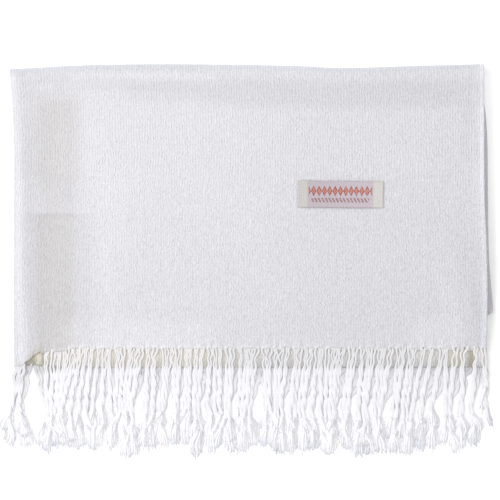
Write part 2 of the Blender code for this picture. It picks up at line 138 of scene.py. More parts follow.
# Painted shade and light on the cloth: darker in the troughs and creases and away from the key
# light on the right, lighter and cooler along the selvedge, darker and bluish on the top fold's
# roll; partly also cloth that looks darker or lighter as fewer or more layers lie under it
TONES = (
    # left, right, low, high, soft across, soft along, darkening, warmth
    (-158, -129, -90, 34.5, 12, 1.5, 0.105, 0.14), (-160, -117, -90, 34.5, 18, 1.5, 0.075, 0),
    (-158, -126, 60, 119, 14, 12, 0.09, 0.1), (-162, -122, 34.5, 127, 18, 10, 0.05, 0.04),
    (-152, -128, 34.5, 62, 9, 7, 0.08, 0.03), (-200, 200, -90, 34.5, 1, 1, 0.008, 0),
    (10, 230, -90, 160, 200, 10, 0.045, 0), (-40, 200, 113, 132, 110, 10, 0.075, 0),
    (-130, -40, 124, 133, 40, 5, 0.05, 0), (-95, -15, 116, 127, 34, 6, 0.045, 0),
    (-80, -28, 130.5, 135, 24, 3, -0.04, 0), (-166, -128, 130.5, 137.5, 12, 2.5, 0.05, 0),
    (161, 171, -90, 14, 5, 40, 0.08, 0.03), (168, 190, 40, 160, 2.5, 40, -0.22, -1),
    (169.2, 190, -90, 40, 2, 40, -0.13, -1), (-180, -169, -90, 150, 4, 10, 0.055, -0.4),
    (-170.5, -163, -90, 60, 3, 10, -0.055, -0.2), (-162.5, -158, -90, 130, 4, 10, 0.03, 0),
    (-200, 200, 139, 160, 10, 2.5, 0.045, -0.9), (-200, -30, 137.3, 160, 40, 2.5, 0.055, -0.2),
    (-145, -28, -90, -42, 24, 16, -0.05, 0), (-136, -123, -90, -42, 10, 16, -0.045, 0),
    (118, 160, -90, -42, 16, 16, -0.055, 0), (138, 158, -46, -14, 10, 12, -0.035, 0),
    (-200, 20, -68, -60.5, 10, 2, -0.05, 0), (20, 150, -68, -60.5, 10, 2, -0.03, 0),
    (-165, -133, 121, 134, 8, 6, 0.035, 0), (-180, -167, 129, 140, 4, 6, -0.04, 0),
    (152, 166, 74, 114, 6, 10, 0.035, 0), (153, 166, -64, -50, 4, 6, 0.012, 0),
    (-172, -152, -95, -60, 6, 5, 0.1, 0.3), (-160, -134, -95, -62.5, 8, 3, 0.05, 0.25),
    (163, 170, -46, -18, 4, 8, 0.03, 0), (-112, -92, -50, 64, 10, 20, -0.018, 0),
    (-110, 10, 14, 64, 30, 16, -0.01, 0), (-168, -159, 36, 62, 4, 6, -0.025, 0),
    (-171.5, -165.5, -70, -10, 3, 16, -0.025, 0), (-176, -162, -95, -68, 4, 5, 0.05, 0.1),
)
# Painted shade on the lower ply's strip: shade under the front ply's edge and between the strands,
# a dark line of shade along its own woven edge, warmer in the shaded gaps, lighter towards the top.
# Columns as in TONES.
UNDER_TONES = (
    (-200, 200, -90, 90, 1, 1, -0.03, 0.1), (-200, -20, -90, 90, 80, 1, -0.07, 0.28),
    (-200, 200, -90, -76, 1, 1.4, 0.34, -0.3), (-200, 200, -90, -71.5, 1, 6, 0.17, 0),
    (-200, 200, -68, 90, 1, 6, -0.06, 0.08), (-164.5, -157, -90, 90, 2.4, 1, 0.3, 0.45),
    (-163, -152, -70, 90, 3, 3, 0.1, 0.15), (-156.4, -154.6, -90, 90, 1, 1, -0.06, 0),
    (-156.5, -151, -90, 90, 3, 1, 0.1, 0.2), (-152.3, -149.9, -90, 90, 1.2, 1, 0.2, 0.4),
    (-147.4, -144.6, -90, 90, 1.6, 1, 0.12, 0.3), (146, 155.5, -90, 90, 3, 1, 0.04, 0.42),
    (159.8, 165.2, -90, 90, 1.8, 1, 0.28, 0.5),
)

LAYER_GAP = 0.45 * MM  # between the two plies
PACKET_DEPTH = 2.0 * MM  # top of the folded layers, below the face

# The folded layers
PANELS = 7
PLIES_TO_A_PANEL = 2
LAYER_SETBACK = 1.6 * MM
LAYER_WANDER = 0.9 * MM
LAYER_WANDER_LENGTH = 45.0 * MM
FOLD_BULGE = 0.85 * MM
PLY_BULGE = 0.4 * MM
BACK_BULGE = 1.3 * MM
PACKET_START = -50.0 * MM
PACKET_SLANT = 4.6 * MM
SLANT_START = 122.0 * MM
PACKET_SHADE = 0.03
PACKET_COLUMNS, PACKET_ROWS = 56, 46
PROFILE = (0.06, 0.25, 0.5, 0.75, 0.94)  # rings down one ply

# The turned layer that peeks out on the right
PEEK_EDGE = in_metres((
    # along, across
    (-39.4, 174.2), (-37.9, 177), (-36.9, 177.8), (-28, 177.3), (-17, 176.3), (8, 174.7),
    (50, 174.1), (84, 173.8), (98, 173.2), (110.6, 172.2), (121, 170.6),
))
PEEK_HEIGHT = 3.4 * MM
PEEK_INSIDE = 163.0 * MM
PEEK_COLUMNS = 12
PEEK_ROWS = 60
PEEK_THICKNESS = 0.9 * MM
PEEK_SHADE = 0.14

# --- the fringe

KNEE_Y = -105.0 * MM  # the height at which a lock's knee shift is given
CALF_Y = -119.5 * MM  # and its calf shift
ROOT_PITCH = 3.65 * MM  # between two strands at the woven edge
ROOT_IN = 1.3 * MM  # the roots start this far inside the woven edge
FILLS = (0.1, 0.9)  # least and most of a gap that the strands fill at the very edge
NECK = 6.0 * MM  # the strands draw together over this length
BAND = 14.0 * MM  # the front row lies on the lower ply over this length
BAND_FADE = 6.0 * MM  # and its plies close up over this length below
FRINGE_LOCKS = (
    # gap before it, strands, knee, calf and tip: sideways from the root; pitch at the knee, reach
    (0.7, 1, -4, -6.9, -0.4, 2.3, 57), (0, 2, -2.9, 0, 5.8, 2.6, 58),
    (5.1, 1, 4, 4, 4.7, 2.3, 60.5), (2.2, 1, 0.4, 1.1, 3.3, 2.3, 61),
    (1.5, 3, -2.6, -2.6, -1.1, 2.9, 58.5), (1.5, 2, -9.5, -8.8, -5.8, 2.3, 57.5),
    (0.7, 3, -6.2, -6.2, -5.5, 5.6, 62.5), (2.2, 3, -2.6, -1.8, -4, 6.4, 59),
    (1.5, 2, -1.5, -0.7, -1.5, 3.4, 58.5), (2.9, 3, -6.2, -6.2, -6.9, 2.9, 65),
    (2.2, 1, -2.6, -2.6, -3.3, 2.3, 60), (0.7, 1, -1.1, -1.8, 0.4, 2.3, 62),
    (2.9, 2, -2.2, -5.1, -2.9, 1.9, 60), (0, 1, 0.4, 0.4, 1.8, 2.3, 54),
    (1.5, 1, -2.6, -2.6, -1.1, 2.3, 59), (0, 2, -0.7, -0.7, 0, 2.3, 57.5),
    (0.7, 2, -2.2, -0.7, 2.2, 1.9, 65.5), (2.2, 1, -1.8, 1.1, -1.8, 2.3, 64),
    (0, 2, 0, 1.5, 0, 3.4, 59), (2.2, 2, -2.2, -2.2, 1.5, 2.6, 63),
    (2.9, 4, -3.7, -4.4, -2.9, 2.8, 60.5), (2.2, 2, 0.7, 1.5, 0, 2.6, 59),
    (0.7, 1, -0.4, -0.4, 0.4, 2.3, 60.5), (1.5, 2, -4.4, -3.7, -2.9, 2.3, 63),
    (2.2, 2, -3.7, -4.4, -5.1, 2.9, 62), (0.7, 2, -5.8, -4.4, -5.1, 2.3, 62),
    (0.7, 2, -2.2, -1.5, -2.2, 6.4, 60.5), (0.7, 3, -2.6, -1.8, -2.6, 2.6, 63.5),
    (0, 1, -6.2, -4.7, -5.5, 2.3, 58.5), (2.2, 2, -5.8, -4.4, -3.7, 2.3, 60.5),
    (0.7, 1, -2.6, -2.6, -1.8, 2.3, 66), (0.7, 2, -4.4, -3.7, -2.9, 2.3, 66),
    (0.7, 2, -3.7, -2.9, 1.5, 2.3, 62), (1.5, 1, -6.9, -9.1, -3.3, 2.3, 62.5),
    (1.5, 2, -3.7, -4.4, -2.9, 2.3, 62.5), (1.5, 2, -5.8, -5.8, -5.8, 2.9, 62),
    (2.2, 1, -7.7, -9.1, -12, 2.3, 64), (2.9, 1, -7.7, -8.4, -9.9, 2.3, 65),
    (2.9, 1, -6.9, -6.2, -6.2, 2.3, 60), (0, 1, -0.4, -0.4, -4, 2.3, 57.5),
    (3.7, 1, -4.7, -4, -2.6, 2.3, 62), (2.2, 1, -1.8, -3.3, -2.6, 2.3, 59),
    (5.8, 1, -4, -2.6, 0.4, 2.3, 59), (0.7, 1, 2.6, 4.7, 2.6, 2.3, 45),
)
PLY_SIDES = 6
STRAND_STATIONS = 46
FRONT_STRAND = in_metres((
    # down from the woven edge, distance between the two plies, width and height of one, painted
    # shade lines at its edges
    (0, 1.9, 2.2, 0.6, 0.2), (3, 1.9, 1.8, 0.6, 0.8), (8, 1.8, 1.65, 0.6, 1),
    (14, 1.5, 1.8, 0.7, 0.8), (20, 1.5, 2.6, 0.3, 0), (30, 1.5, 2.8, 0.3, 0),
    (42, 1.4, 2.75, 0.6, 0.5), (60, 1.3, 2.6, 0.9, 0.7),
), plain=(4,))
UNDER_STRAND = in_metres((
    (0, 2.3, 2.6, 0.25, 0), (8, 2.3, 2.7, 0.25, 0), (16, 1.9, 2.7, 0.25, 0),
    (28, 1.7, 2.8, 0.5, 0.3), (60, 1.3, 2.6, 0.9, 0.6),
), plain=(4,))
PLY_PARTING = (0.55, 1.45)  # the plies of a strand lie closer or wider apart near the edge
STRAND_END = 2.4 * MM  # width over which a tuft's yarns start
TWIST_START = 15.0 * MM
TWIST_EASE = 30.0 * MM  # the twist tightens over this length
EDGE_DARK = (0.10, 0.44)  # painted shade along the left and right edges of a ply
FLATNESS = 0.45  # below 1, a ply's section is flatter than an ellipse
BARE_CORNER = (-166.0 * MM, -151.8 * MM)  # no strand leaves the front ply's slanting corner here
OUTLIER_FAN = 0.35  # the last strand ends in a narrow tuft
TUFT_SIDES = 4
TUFT_STATIONS = 6
TUFT_INSIDE = 1.5 * MM  # a tuft's yarns start this far inside its strand
TUFT_SHADES = (-0.015, -0.01, 0.0, 0.0, 0.015, 0.04)
TUFT_TIP_SHADES = (0.0, 0.0, 0.0, 0.4, 1.0)  # painted shade: how far a tuft's tips turn darker and to the tip colour
LEAST_HEIGHT = 0.35 * MM  # of a tuft's yarns over the floor
FREE_SHADE = 0.062  # of a strand away from the woven edges
FREE_FROM = 40.0 * MM
LESS_WARM = (-20.0, 142.0, 40.0)  # left, right, soft, in mm: the front yarn is cooler in between
EDGE_SAG = 0.9 * MM  # the woven edge lies this much lower than the part's
ARCH_RISES = (0.3 * MM, 1.6 * MM)  # and is drawn up over each lock, least and most
ARCH_DIP = 0.45 * MM  # and sinks between two locks
ARCH_REACH = 3.5 * MM
GAP_SHADE = 0.16  # painted shade: the lower ply is darker between two locks
GAP_WARMTH = 0.25  # and warmer there, as part of that painted shade
PINCHED = 12.0 * MM  # no painted crease shade reaches further than this from the woven edge
PINCH_WIDTH = 1.7 * MM  # half width of the painted crease shade lines between two locks


# --- settings

def length_setting(name, description, default, low, high):
    """A length, given in millimetres."""
    return FloatProperty(name=name, description=description, default=default * MM,
                         min=low * MM, max=high * MM, unit="LENGTH")


def colour_setting(name, description, default):
    return FloatVectorProperty(name=name, description=description, default=default,
                               min=0.0, max=1.0, size=3, subtype="COLOR")


class ShawlClothSettings(bpy.types.PropertyGroup):
    """Sizes and colours of the woven cloth."""

    thickness: length_setting("Thickness", "Thickness of one ply of cloth", 0.7, 0.2, 2)
    column: length_setting("Column", "Width of a column of faces across the cloth", 1.2, 0.8, 10)
    rib: length_setting("Rib", "Distance between two crepe ribs", 1.95, 0.5, 6)
    thread: length_setting("Thread", "Distance between two threads of the weave", 0.5, 0.2, 2)
    colour: colour_setting("Colour", "Colour of the cloth", (0.735, 0.725, 0.762))
    # Painted shade: the warm colour tints the painted shade in the cloth's troughs and in the
    # shaded gaps of the lower ply, and partly cloth with few layers under it.
    warm_colour: colour_setting(
        "Warm colour", "Tint of the cloth where few layers lie under it", (1.0, 0.96, 0.72))
    # Painted light: the cool colour tints the painted highlight along the selvedge and the painted
    # shade on the top fold's roll.
    cool_colour: colour_setting(
        "Cool colour", "Tint of the dense cloth at the selvedge and the top fold",
        (0.965, 0.995, 1.0))


class ShawlFringeSettings(bpy.types.PropertyGroup):
    """Sizes and colours of the twisted fringe."""

    turn: length_setting("Turn", "Length of one full turn of the twist", 34, 3, 60)
    tuft: length_setting("Tuft length", "Length of the frayed end of a strand", 18, 4, 40)
    tuft_width: length_setting("Tuft width", "Width over which a frayed end spreads", 9, 1, 14)
    yarns: IntProperty(
        name="Yarns", description="Yarns in a frayed end", default=24, min=3, max=24)
    colour: colour_setting("Colour", "Colour of the yarn", (0.93, 0.923, 0.958))
    warm_colour: colour_setting(
        "Warm colour", "Colour of the yarn where it lies on the cloth", (0.93, 0.912, 0.91))
    # Painted shade: the tip colour is the bluish grey of shaded tuft tips.
    tip_shade_colour: colour_setting(
        "Tip colour", "Colour of the densest frayed ends", (0.83, 0.85, 0.925))


class ShawlLabelSettings(bpy.types.PropertyGroup):
    """Sizes and colours of the woven label."""

    length: length_setting("Length", "Length of the label", 63, 10, 120)
    width: length_setting("Width", "Width of the label", 19.5, 5, 60)
    tab: length_setting("Tab", "Length of the plain tab at each end", 7.4, 1, 20)
    ground: colour_setting("Ground", "Colour of the label's field", (0.585, 0.505, 0.545))
    tab_colour: colour_setting("Tab colour", "Colour of the plain tabs", (0.675, 0.65, 0.61))
    figure: colour_setting("Figure", "Colour of the lozenge border", (0.58, 0.105, 0.004))
    mottle: colour_setting(
        "Mottle", "Colour of the threads that show through in places", (0.60, 0.585, 0.66))
    line: colour_setting("Line", "Colour of the dashed line", (0.27, 0.05, 0.045))


class ShawlStageSettings(bpy.types.PropertyGroup):
    """Floor, light and camera."""

    floor: length_setting("Floor", "Width of the floor", 3000, 500, 20000)
    floor_colour: colour_setting("Floor colour", "Colour of the floor", (0.93, 0.93, 0.935))
    key_power: FloatProperty(
        name="Key light", description="Power of the large light on the left",
        default=22.0, min=0.0, max=1000.0, unit="POWER")
    sky: FloatProperty(
        name="Sky", description="Brightness of the light from all round", default=0.8, min=0.0)
    floor_glow: FloatProperty(
        name="Floor glow", description="Light that the floor gives by itself, as a light table",
        default=0.27, min=0.0, max=2.0)
    camera_height: length_setting(
        "Camera height", "Height of the camera over the floor", 3000, 500, 20000)
    frame_width: length_setting("Frame width", "Width of the picture on the cloth", 365, 100, 5000)


# --- arithmetic

def mix(low, high, share):
    return low + (high - low) * share


def eased(share):
    share = min(1.0, max(0.0, share))
    return share * share * (3.0 - 2.0 * share)


def curve_value(rows, place):
    """Read a smooth curve through rows of (place, value)."""
    if place <= rows[0][0]:
        return rows[0][1]
    if place >= rows[-1][0]:
        return rows[-1][1]
    index = max(i for i in range(len(rows) - 1) if rows[i][0] <= place)

    def slope(at):
        before, after = rows[max(at - 1, 0)], rows[min(at + 1, len(rows) - 1)]
        return (after[1] - before[1]) / (after[0] - before[0])

    (start, low), (end, high) = rows[index], rows[index + 1]
    span = end - start
    t = (place - start) / span
    return ((2.0 * t ** 3 - 3.0 * t ** 2 + 1.0) * low
            + (t ** 3 - 2.0 * t ** 2 + t) * span * slope(index)
            + (3.0 * t ** 2 - 2.0 * t ** 3) * high
            + (t ** 3 - t ** 2) * span * slope(index + 1))


def in_band(place, low, high, soft):
    """1 between low and high, eased to 0 over the soft distance round each."""
    return eased((place - low) / soft + 0.5) * eased((high - place) / soft + 0.5)


# --- the shape of the cloth's face

LEFT_END, RIGHT_END = LEFT_EDGE[0][1], RIGHT_EDGE[0][1]
END_WIDTH = RIGHT_END - LEFT_END


def soft_folds(x, y, edges):
    rise = 0.0
    for edge, distance, half_width, height, starts, ends, fades in SOFT_FOLDS:
        run = x if edge == "top" else y
        shown = eased((run - starts + fades) / fades) * (1.0 - eased((run - ends) / fades))
        rise += height * shown * exp(-((edges[edge] - distance) / half_width) ** 2)
    return rise


def crease_runs():
    """Each crease as short straight runs, with the share of its length where each one starts."""
    steps = 8
    made = []
    for start, middle, end, half_width, rise in CREASES:
        first, bend, last = Vector(start) * MM, Vector(middle) * MM, Vector(end) * MM
        points = []
        for index in range(steps + 1):
            t = index / steps
            points.append(first * (1 - t) * (1 - 2 * t) + bend * 4 * t * (1 - t)
                          + last * t * (2 * t - 1))
        reach = 3.0 * half_width * MM
        box = (min(p.x for p in points) - reach, max(p.x for p in points) + reach,
               min(p.y for p in points) - reach, max(p.y for p in points) + reach)
        made.append((points, box, half_width * MM, rise * MM))
    return made


CREASE_RUNS = crease_runs()


def creases(x, y):
    rise = 0.0
    at = Vector((x, y))
    for points, (low_x, high_x, low_y, high_y), half_width, height in CREASE_RUNS:
        if not (low_x < x < high_x and low_y < y < high_y):
            continue
        nearest, share = 1.0, 0.0
        for index in range(len(points) - 1):
            start, run = points[index], points[index + 1] - points[index]
            t = min(1.0, max(0.0, (at - start).dot(run) / run.length_squared))
            away = (at - start - run * t).length
            if away < nearest:
                nearest, share = away, (index + t) / (len(points) - 1)
        shown = eased(share / CREASE_FADE) * eased((1.0 - share) / CREASE_FADE)
        rise += height * shown * exp(-(nearest / half_width) ** 2)
    return rise


def face_height(x, y, left, right):
    edges = {"left": x - left, "right": right - x, "top": curve_value(TOP_EDGE, x) - y}
    waves = sum(height * sin(tau * (x / across + y / along))
                for height, across, along in WAVES)
    on_packet = eased(1.0 - y / FRONT_EDGE)
    drop = FOLD_DROP * exp(-max(edges["left"], 0.0) / FOLD_DROP_WIDTH)
    return (curve_value(FACE_HEIGHTS, y)
            + soft_folds(x, y, edges) * mix(EDGE_FOLD_SHARE, 1.0, on_packet)
            + creases(x, y)
            + waves * on_packet
            - drop * mix(EDGE_DROP_SHARE, 1.0, on_packet))


def face_point(across, along):
    """A point on the front ply's face: across from the long fold to the selvedges, 0 to 1."""
    level = min(along, ROLL_LINE)
    left = curve_value(LEFT_EDGE, level)
    right = curve_value(RIGHT_EDGE, level)
    x = mix(left, right, across)
    turn_y = curve_value(TOP_EDGE, x) - ROLL_DEPTH
    drawn = max(0.0, level - MIDDLE) / (ROLL_LINE - MIDDLE)
    y = level + (turn_y - ROLL_LINE) * drawn
    z = face_height(x, y, left, right)
    if along > ROLL_LINE:
        angle = (along - ROLL_LINE) / ROLL_DEPTH
        half = 0.5 * (z - ROLL_FOOT)
        y += ROLL_DEPTH * sin(angle)
        z = ROLL_FOOT + half * (1.0 + cos(angle))
    return Vector((x, y, z))


def cloth_point(across, along, depth):
    """A point the given depth inside the face, square to the panel's length."""
    here = face_point(across, along)
    if depth == 0.0:
        return here
    ahead = face_point(across, along + SLOPE_PROBE)
    behind = face_point(across, along - SLOPE_PROBE)
    inward = Vector((0.0, ahead.z - behind.z, behind.y - ahead.y)).normalized()
    return here + inward * depth


def across_at(x, along):
    left = curve_value(LEFT_EDGE, along)
    return (x - left) / (curve_value(RIGHT_EDGE, along) - left)


def end_x(across):
    """Where a share of the panel's width lies at the woven edges."""
    return mix(LEFT_END, RIGHT_END, across)


def drawn_down(across, along, edge, rise, drops):
    share = 1.0 - eased((along - edge) / rise)
    return along - share * curve_value(drops, end_x(across))


def front_along(across, along):
    return drawn_down(across, along, FRONT_EDGE, CORNER_RISE, CORNER_DROPS)


def under_along(across, along):
    return drawn_down(across, along, UNDER_EDGE, UNDER_RISE, UNDER_DROPS)


def lock_roots():
    """Where each lock starts and ends along the woven edge, from the long fold."""
    spans = []
    end = LEFT_END
    for gap, strands, *_rest in FRINGE_LOCKS:
        start = end + gap * MM
        end = start + strands * ROOT_PITCH
        spans.append((start, end))
    return spans


def filled_roots():
    """The same spans, widened into the gaps as the yarns leave the very edge of the cloth."""
    stray = random.Random(3)
    last = len(LOCK_ROOTS) - 1
    spans = []
    for index, (start, end) in enumerate(LOCK_ROOTS):
        before = LOCK_ROOTS[index - 1][1] if index > 0 else LEFT_END
        after = LOCK_ROOTS[index + 1][0] if index < last else RIGHT_END
        spans.append((start - 0.5 * stray.uniform(*FILLS) * (start - before),
                      end + 0.5 * stray.uniform(*FILLS) * (after - end)))
    return spans


LOCK_ROOTS = lock_roots()
FILLED_ROOTS = filled_roots()


def arches():
    """The rise of the woven edge over each lock."""
    stray = random.Random(8)
    return [stray.uniform(*ARCH_RISES) for _lock in LOCK_ROOTS]


ARCHES = arches()


def arch(x):
    """-1 between two locks, 1 over the middle of one, and the rise there."""
    for (start, end), rise in zip(LOCK_ROOTS, ARCHES):
        if x <= end:
            away = abs(2.0 * (x - start) / (end - start) - 1.0)
            return 1.0 - 2.0 * min(1.0, away) ** 2.5, rise
    return -1.0, ARCH_RISES[0]


# --- materials

SHEEN_ROUGHNESS = 0.5
NOISE_ROUGHNESS = 0.55


class Value:
    """A socket's value, on which Python's arithmetic adds Math nodes."""

    def __init__(self, paint, socket):
        self.paint = paint
        self.socket = socket

    def step(self, low, high):
        """0 below low, 1 above high, eased between."""
        return self.paint.node("ShaderNodeMapRange", {"interpolation_type": "SMOOTHSTEP"},
                               self, low, high, 0.0, 1.0)


def add_math(name, operation, swapped=False):
    """Give Value a method that adds one Math node."""
    def method(self, *others):
        terms = (*others, self) if swapped else (self, *others)
        return self.paint.node("ShaderNodeMath", {"operation": operation}, *terms)

    setattr(Value, name, method)


for method_name, operation_name in (
        ("add", "ADD"), ("sub", "SUBTRACT"), ("mul", "MULTIPLY"), ("truediv", "DIVIDE")):
    add_math("__%s__" % method_name, operation_name)
    add_math("__r%s__" % method_name, operation_name, swapped=True)
for method_name, operation_name in (
        ("sine", "SINE"), ("fraction", "FRACT"), ("size", "ABSOLUTE"), ("below", "LESS_THAN"),
        ("above", "GREATER_THAN"), ("larger", "MAXIMUM")):
    add_math(method_name, operation_name)


class Paint:
    """Builds one material's nodes."""

    def __init__(self, name, roughness, sheen, specular):
        self.material = bpy.data.materials.new(name)
        self.material.use_nodes = True
        self.tree = self.material.node_tree
        self.shader = self.tree.nodes["Principled BSDF"]
        for key, value in (("Sheen Weight", sheen), ("Sheen Roughness", SHEEN_ROUGHNESS),
                           ("Specular IOR Level", specular), ("Roughness", roughness)):
            self.shader.inputs[key].default_value = value

    def node(self, kind, settings, *values, output=0, sockets=(), **named):
        """Add a node: its settings first, then its sockets' values or links."""
        made = self.tree.nodes.new(kind)
        for key, value in settings.items():
            setattr(made, key, value)
        for key, value in (*enumerate(values), *sockets, *named.items()):
            if isinstance(value, Value):
                self.tree.links.new(value.socket, made.inputs[key])
            else:
                made.inputs[key].default_value = value
        return Value(self, made.outputs[output])

    def uv(self):
        """The piece's own UV map, in metres: across and along."""
        return self.split(self.node("ShaderNodeUVMap", {"uv_map": "cut"}))

    def split(self, vector):
        first = self.node("ShaderNodeSeparateXYZ", {}, vector)
        return first, Value(self, first.socket.node.outputs[1])

    def noise(self, x, y, detail=2.0):
        """Soft noise, 0 to 1, at a place whose units are the size of one blot."""
        place = self.node("ShaderNodeCombineXYZ", {}, x, y, 0.0)
        return self.node("ShaderNodeTexNoise", {"noise_dimensions": "2D"},
                         Vector=place, Scale=1.0, Detail=detail, Roughness=NOISE_ROUGHNESS)

    def attribute(self, name):
        return self.node("ShaderNodeAttribute", {"attribute_name": name}, output="Fac")

    def blend(self, first, second, factor):
        """Mix two colours."""
        first, second = (colour if isinstance(colour, Value) else (*colour, 1.0)
                         for colour in (first, second))
        return self.node("ShaderNodeMix", {"data_type": "RGBA"}, factor,
                         sockets=((6, first), (7, second)), output=2)

    def tinted(self, plain, warm, cool):
        """Blend towards the warm colour where the warmth is over 0, and the cool one under 0."""
        warmth = self.attribute("warmth")
        return self.blend(self.blend(plain, warm, warmth.larger(0.0)),
                          cool, (warmth * -1.0).larger(0.0))

    def product(self, first, second):
        return self.node("ShaderNodeVectorMath", {"operation": "MULTIPLY"}, first, second)

    def scaled(self, colour, factor):
        """A colour made lighter or darker."""
        return self.product(colour, self.node("ShaderNodeCombineXYZ", {}, factor, factor, factor))

    def feed(self, name, value):
        self.tree.links.new(value.socket, self.shader.inputs[name])

    def finish(self, colour, height, distance, roughness=None):
        self.feed("Base Color", colour)
        if roughness is not None:
            self.feed("Roughness", roughness)
        self.feed("Normal", self.node("ShaderNodeBump", {}, Strength=1.0,
                                      Distance=distance, Height=height))
        return self.material


def cloth_material(name, cloth):
    """Crepe: wavering vertical ribs, broken into dashes, over a fine plain weave."""
    paint = Paint(name, roughness=0.68, sheen=0.12, specular=0.28)
    u, v = paint.uv()
    across, along = u / MM, v / MM
    wander = paint.noise(across * 0.12, along * 0.07, 1.0)
    kink = paint.noise(across * 0.6 + 31.0, along * 0.34, 1.0)
    rib_place = u / cloth.rib + wander * 1.2 + kink * (1.4 - along.step(40.0, 80.0) * 0.6)
    rib = (rib_place * tau).sine()
    broken = paint.noise(across * 0.45 + 7.0, along * 0.28, 1.0).step(0.36, 0.62)
    grain = paint.noise(across * 1.3 + 19.0, along * 1.9, 1.0) - 0.5
    slub = paint.noise(across * 1.15 + 3.0, along * 0.5 + 11.0, 2.0) - 0.5
    vein = (paint.noise(across * 0.5 + 17.0, along * 0.42, 1.0) - 0.5).size()
    crinkle = (0.16 - vein).larger(0.0) * 6.0 * (along.step(40.0, 90.0) * 0.4 + 0.25)
    thread = (u / cloth.thread * tau).sine() * (v / cloth.thread * tau).sine()
    ribs = rib * (broken * 0.75 + 0.25)
    height = ribs * 0.5 + slub * 1.6 + crinkle * 0.6 + thread * 0.12
    cloud = paint.noise(across * 0.03, along * 0.024, 2.0) - 0.5
    texture = ribs * 0.08 + slub * 0.17 + grain * 0.22 + crinkle * 0.08
    light = 0.985 + texture * (1.03 + across.size() * 0.0011) + cloud * 0.03
    # Painted shade and light: the shade attribute darkens or lightens the cloth, the next line
    # paints thin dark lines of crease shade between the locks, and the warmth attribute tints
    # painted shade warm and the painted highlight cool.
    light = light * (1.0 - paint.attribute("shade"))
    light = light * (1.0 - paint.attribute("crease_shade").step(0.4, 0.95) * 0.2)
    tint = paint.tinted((1.0, 1.0, 1.0), cloth.warm_colour, cloth.cool_colour)
    base = paint.scaled(paint.product(tint, cloth.colour), light)
    return paint.finish(base, height, 0.2 * MM, 0.66 + slub * 0.12)


def yarn_material(name, fringe):
    """Soft twisted yarn: fine fibres that run round the strand, with soft blots, and painted shade
    from the shade attribute.
    """
    paint = Paint(name, roughness=0.6, sheen=0.25, specular=0.25)
    round_it, down = paint.uv()
    along = down / MM
    fibres = paint.noise(round_it * 14.0 + along * 0.5, along * 0.25, 3.0) - 0.5
    blots = paint.noise(round_it * 2.0, along * 0.2 + 5.0, 2.0) - 0.5
    light = (1.0 + fibres * 0.16 + blots * 0.08) * (1.0 - paint.attribute("shade"))
    tint = paint.tinted(fringe.colour, fringe.warm_colour, fringe.tip_shade_colour)
    base = paint.scaled(tint, light)
    return paint.finish(base, fibres + blots * 0.5, 0.12 * MM, 0.58 + fibres * 0.2)


def label_material(name, label):
    """Woven label: a border of lozenges over a dashed line, on a satin field with plain tabs."""
    paint = Paint(name, roughness=0.5, sheen=0.1, specular=0.35)
    u, v = paint.uv()
    across, along = u / MM, v / MM
    half = 0.5 * label.length / MM
    field = 1.0 - across.size().step(half - label.tab / MM - 0.7, half - label.tab / MM + 0.7)
    weave = (across * 2.6 * pi).sine() * (along * 3.4 * pi).sine()
    inside = across.size().below(23.2)
    lozenge_x = ((across / 3.9 + 0.5).fraction() - 0.5).size() / 0.47
    lozenge = lozenge_x + (along - 2.4).size() / 3.7
    figure = lozenge.below(1.08) * (1.0 - lozenge.above(0.36) * lozenge.below(0.46)) * inside
    rim = lozenge.step(0.55, 0.9)
    slant = (across / 2.6 + along / 5.0).fraction()
    dash = (along + 4.3).size().below(1.6) * slant.below(0.55) * across.size().below(21.0)
    ground = paint.blend(label.tab_colour, label.ground, field)
    thread = paint.blend(label.figure, label.line, rim * 0.7)
    ground = paint.blend(ground, thread, figure * 0.98)
    ground = paint.blend(ground, label.line, dash * 0.78)
    mottle = paint.noise(across * 0.9 + 4.0, along * 0.9, 2.0).step(0.42, 0.66)
    ground = paint.blend(ground, label.mottle, mottle * 0.4)
    wear = paint.noise(across * 1.1, along * 1.1, 2.0) - 0.5
    # Painted light: the label grows lighter towards its right end, as if its tilted face there
    # caught more light.
    base = paint.scaled(ground, 1.0 + weave * 0.06 + wear * 0.42 + across * 0.0021)
    return paint.finish(base, weave + figure * 0.6, 0.08 * MM)


def floor_material(name, stage):
    """Pale paper that glows a little, with a painted shadow: less glow beside the packet on the
    right.
    """
    paint = Paint(name, roughness=0.9, sheen=0.0, specular=0.1)
    x, y = paint.split(paint.node("ShaderNodeTexCoord", {}, output="Object"))
    grain = paint.noise(x * 300.0, y * 300.0, 2.0) - 0.5
    base = paint.scaled(stage.floor_colour, 1.0 + grain * 0.01)
    # Painted shadow: the glow is taken away in a strip beside the packet's right side, more towards
    # the bottom.
    beside = (x / MM).step(160.0, 176.0) - (x / MM).step(178.0, 183.0)
    below = (y / MM).step(-112.0, -78.0) * (0.38 - y / MM * 0.0030)
    glow = paint.scaled(stage.floor_colour, 1.0 - (beside * below).larger(0.0))
    paint.feed("Emission Color", glow)
    paint.shader.inputs["Emission Strength"].default_value = stage.floor_glow
    return paint.finish(base, grain, 0.02 * MM)


# --- meshes and objects

def add_piece(name, bm, material, slot=None):
    """A finished object on the part's body."""
    mesh = bpy.data.meshes.new(name)
    bm.to_mesh(mesh)
    bm.free()
    mesh.shade_smooth()
    made = bpy.data.objects.new(name, mesh)
    made.data.materials.append(material)
    bpy.context.scene.collection.objects.link(made)
    if slot is not None:
        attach(made, "root")
    return made


def add_thickness(piece, thickness):
    wall = piece.modifiers.new("thickness", "SOLIDIFY")
    wall.thickness = thickness
    wall.offset = -1.0
    wall.use_even_offset = True
    wall.use_quality_normals = True


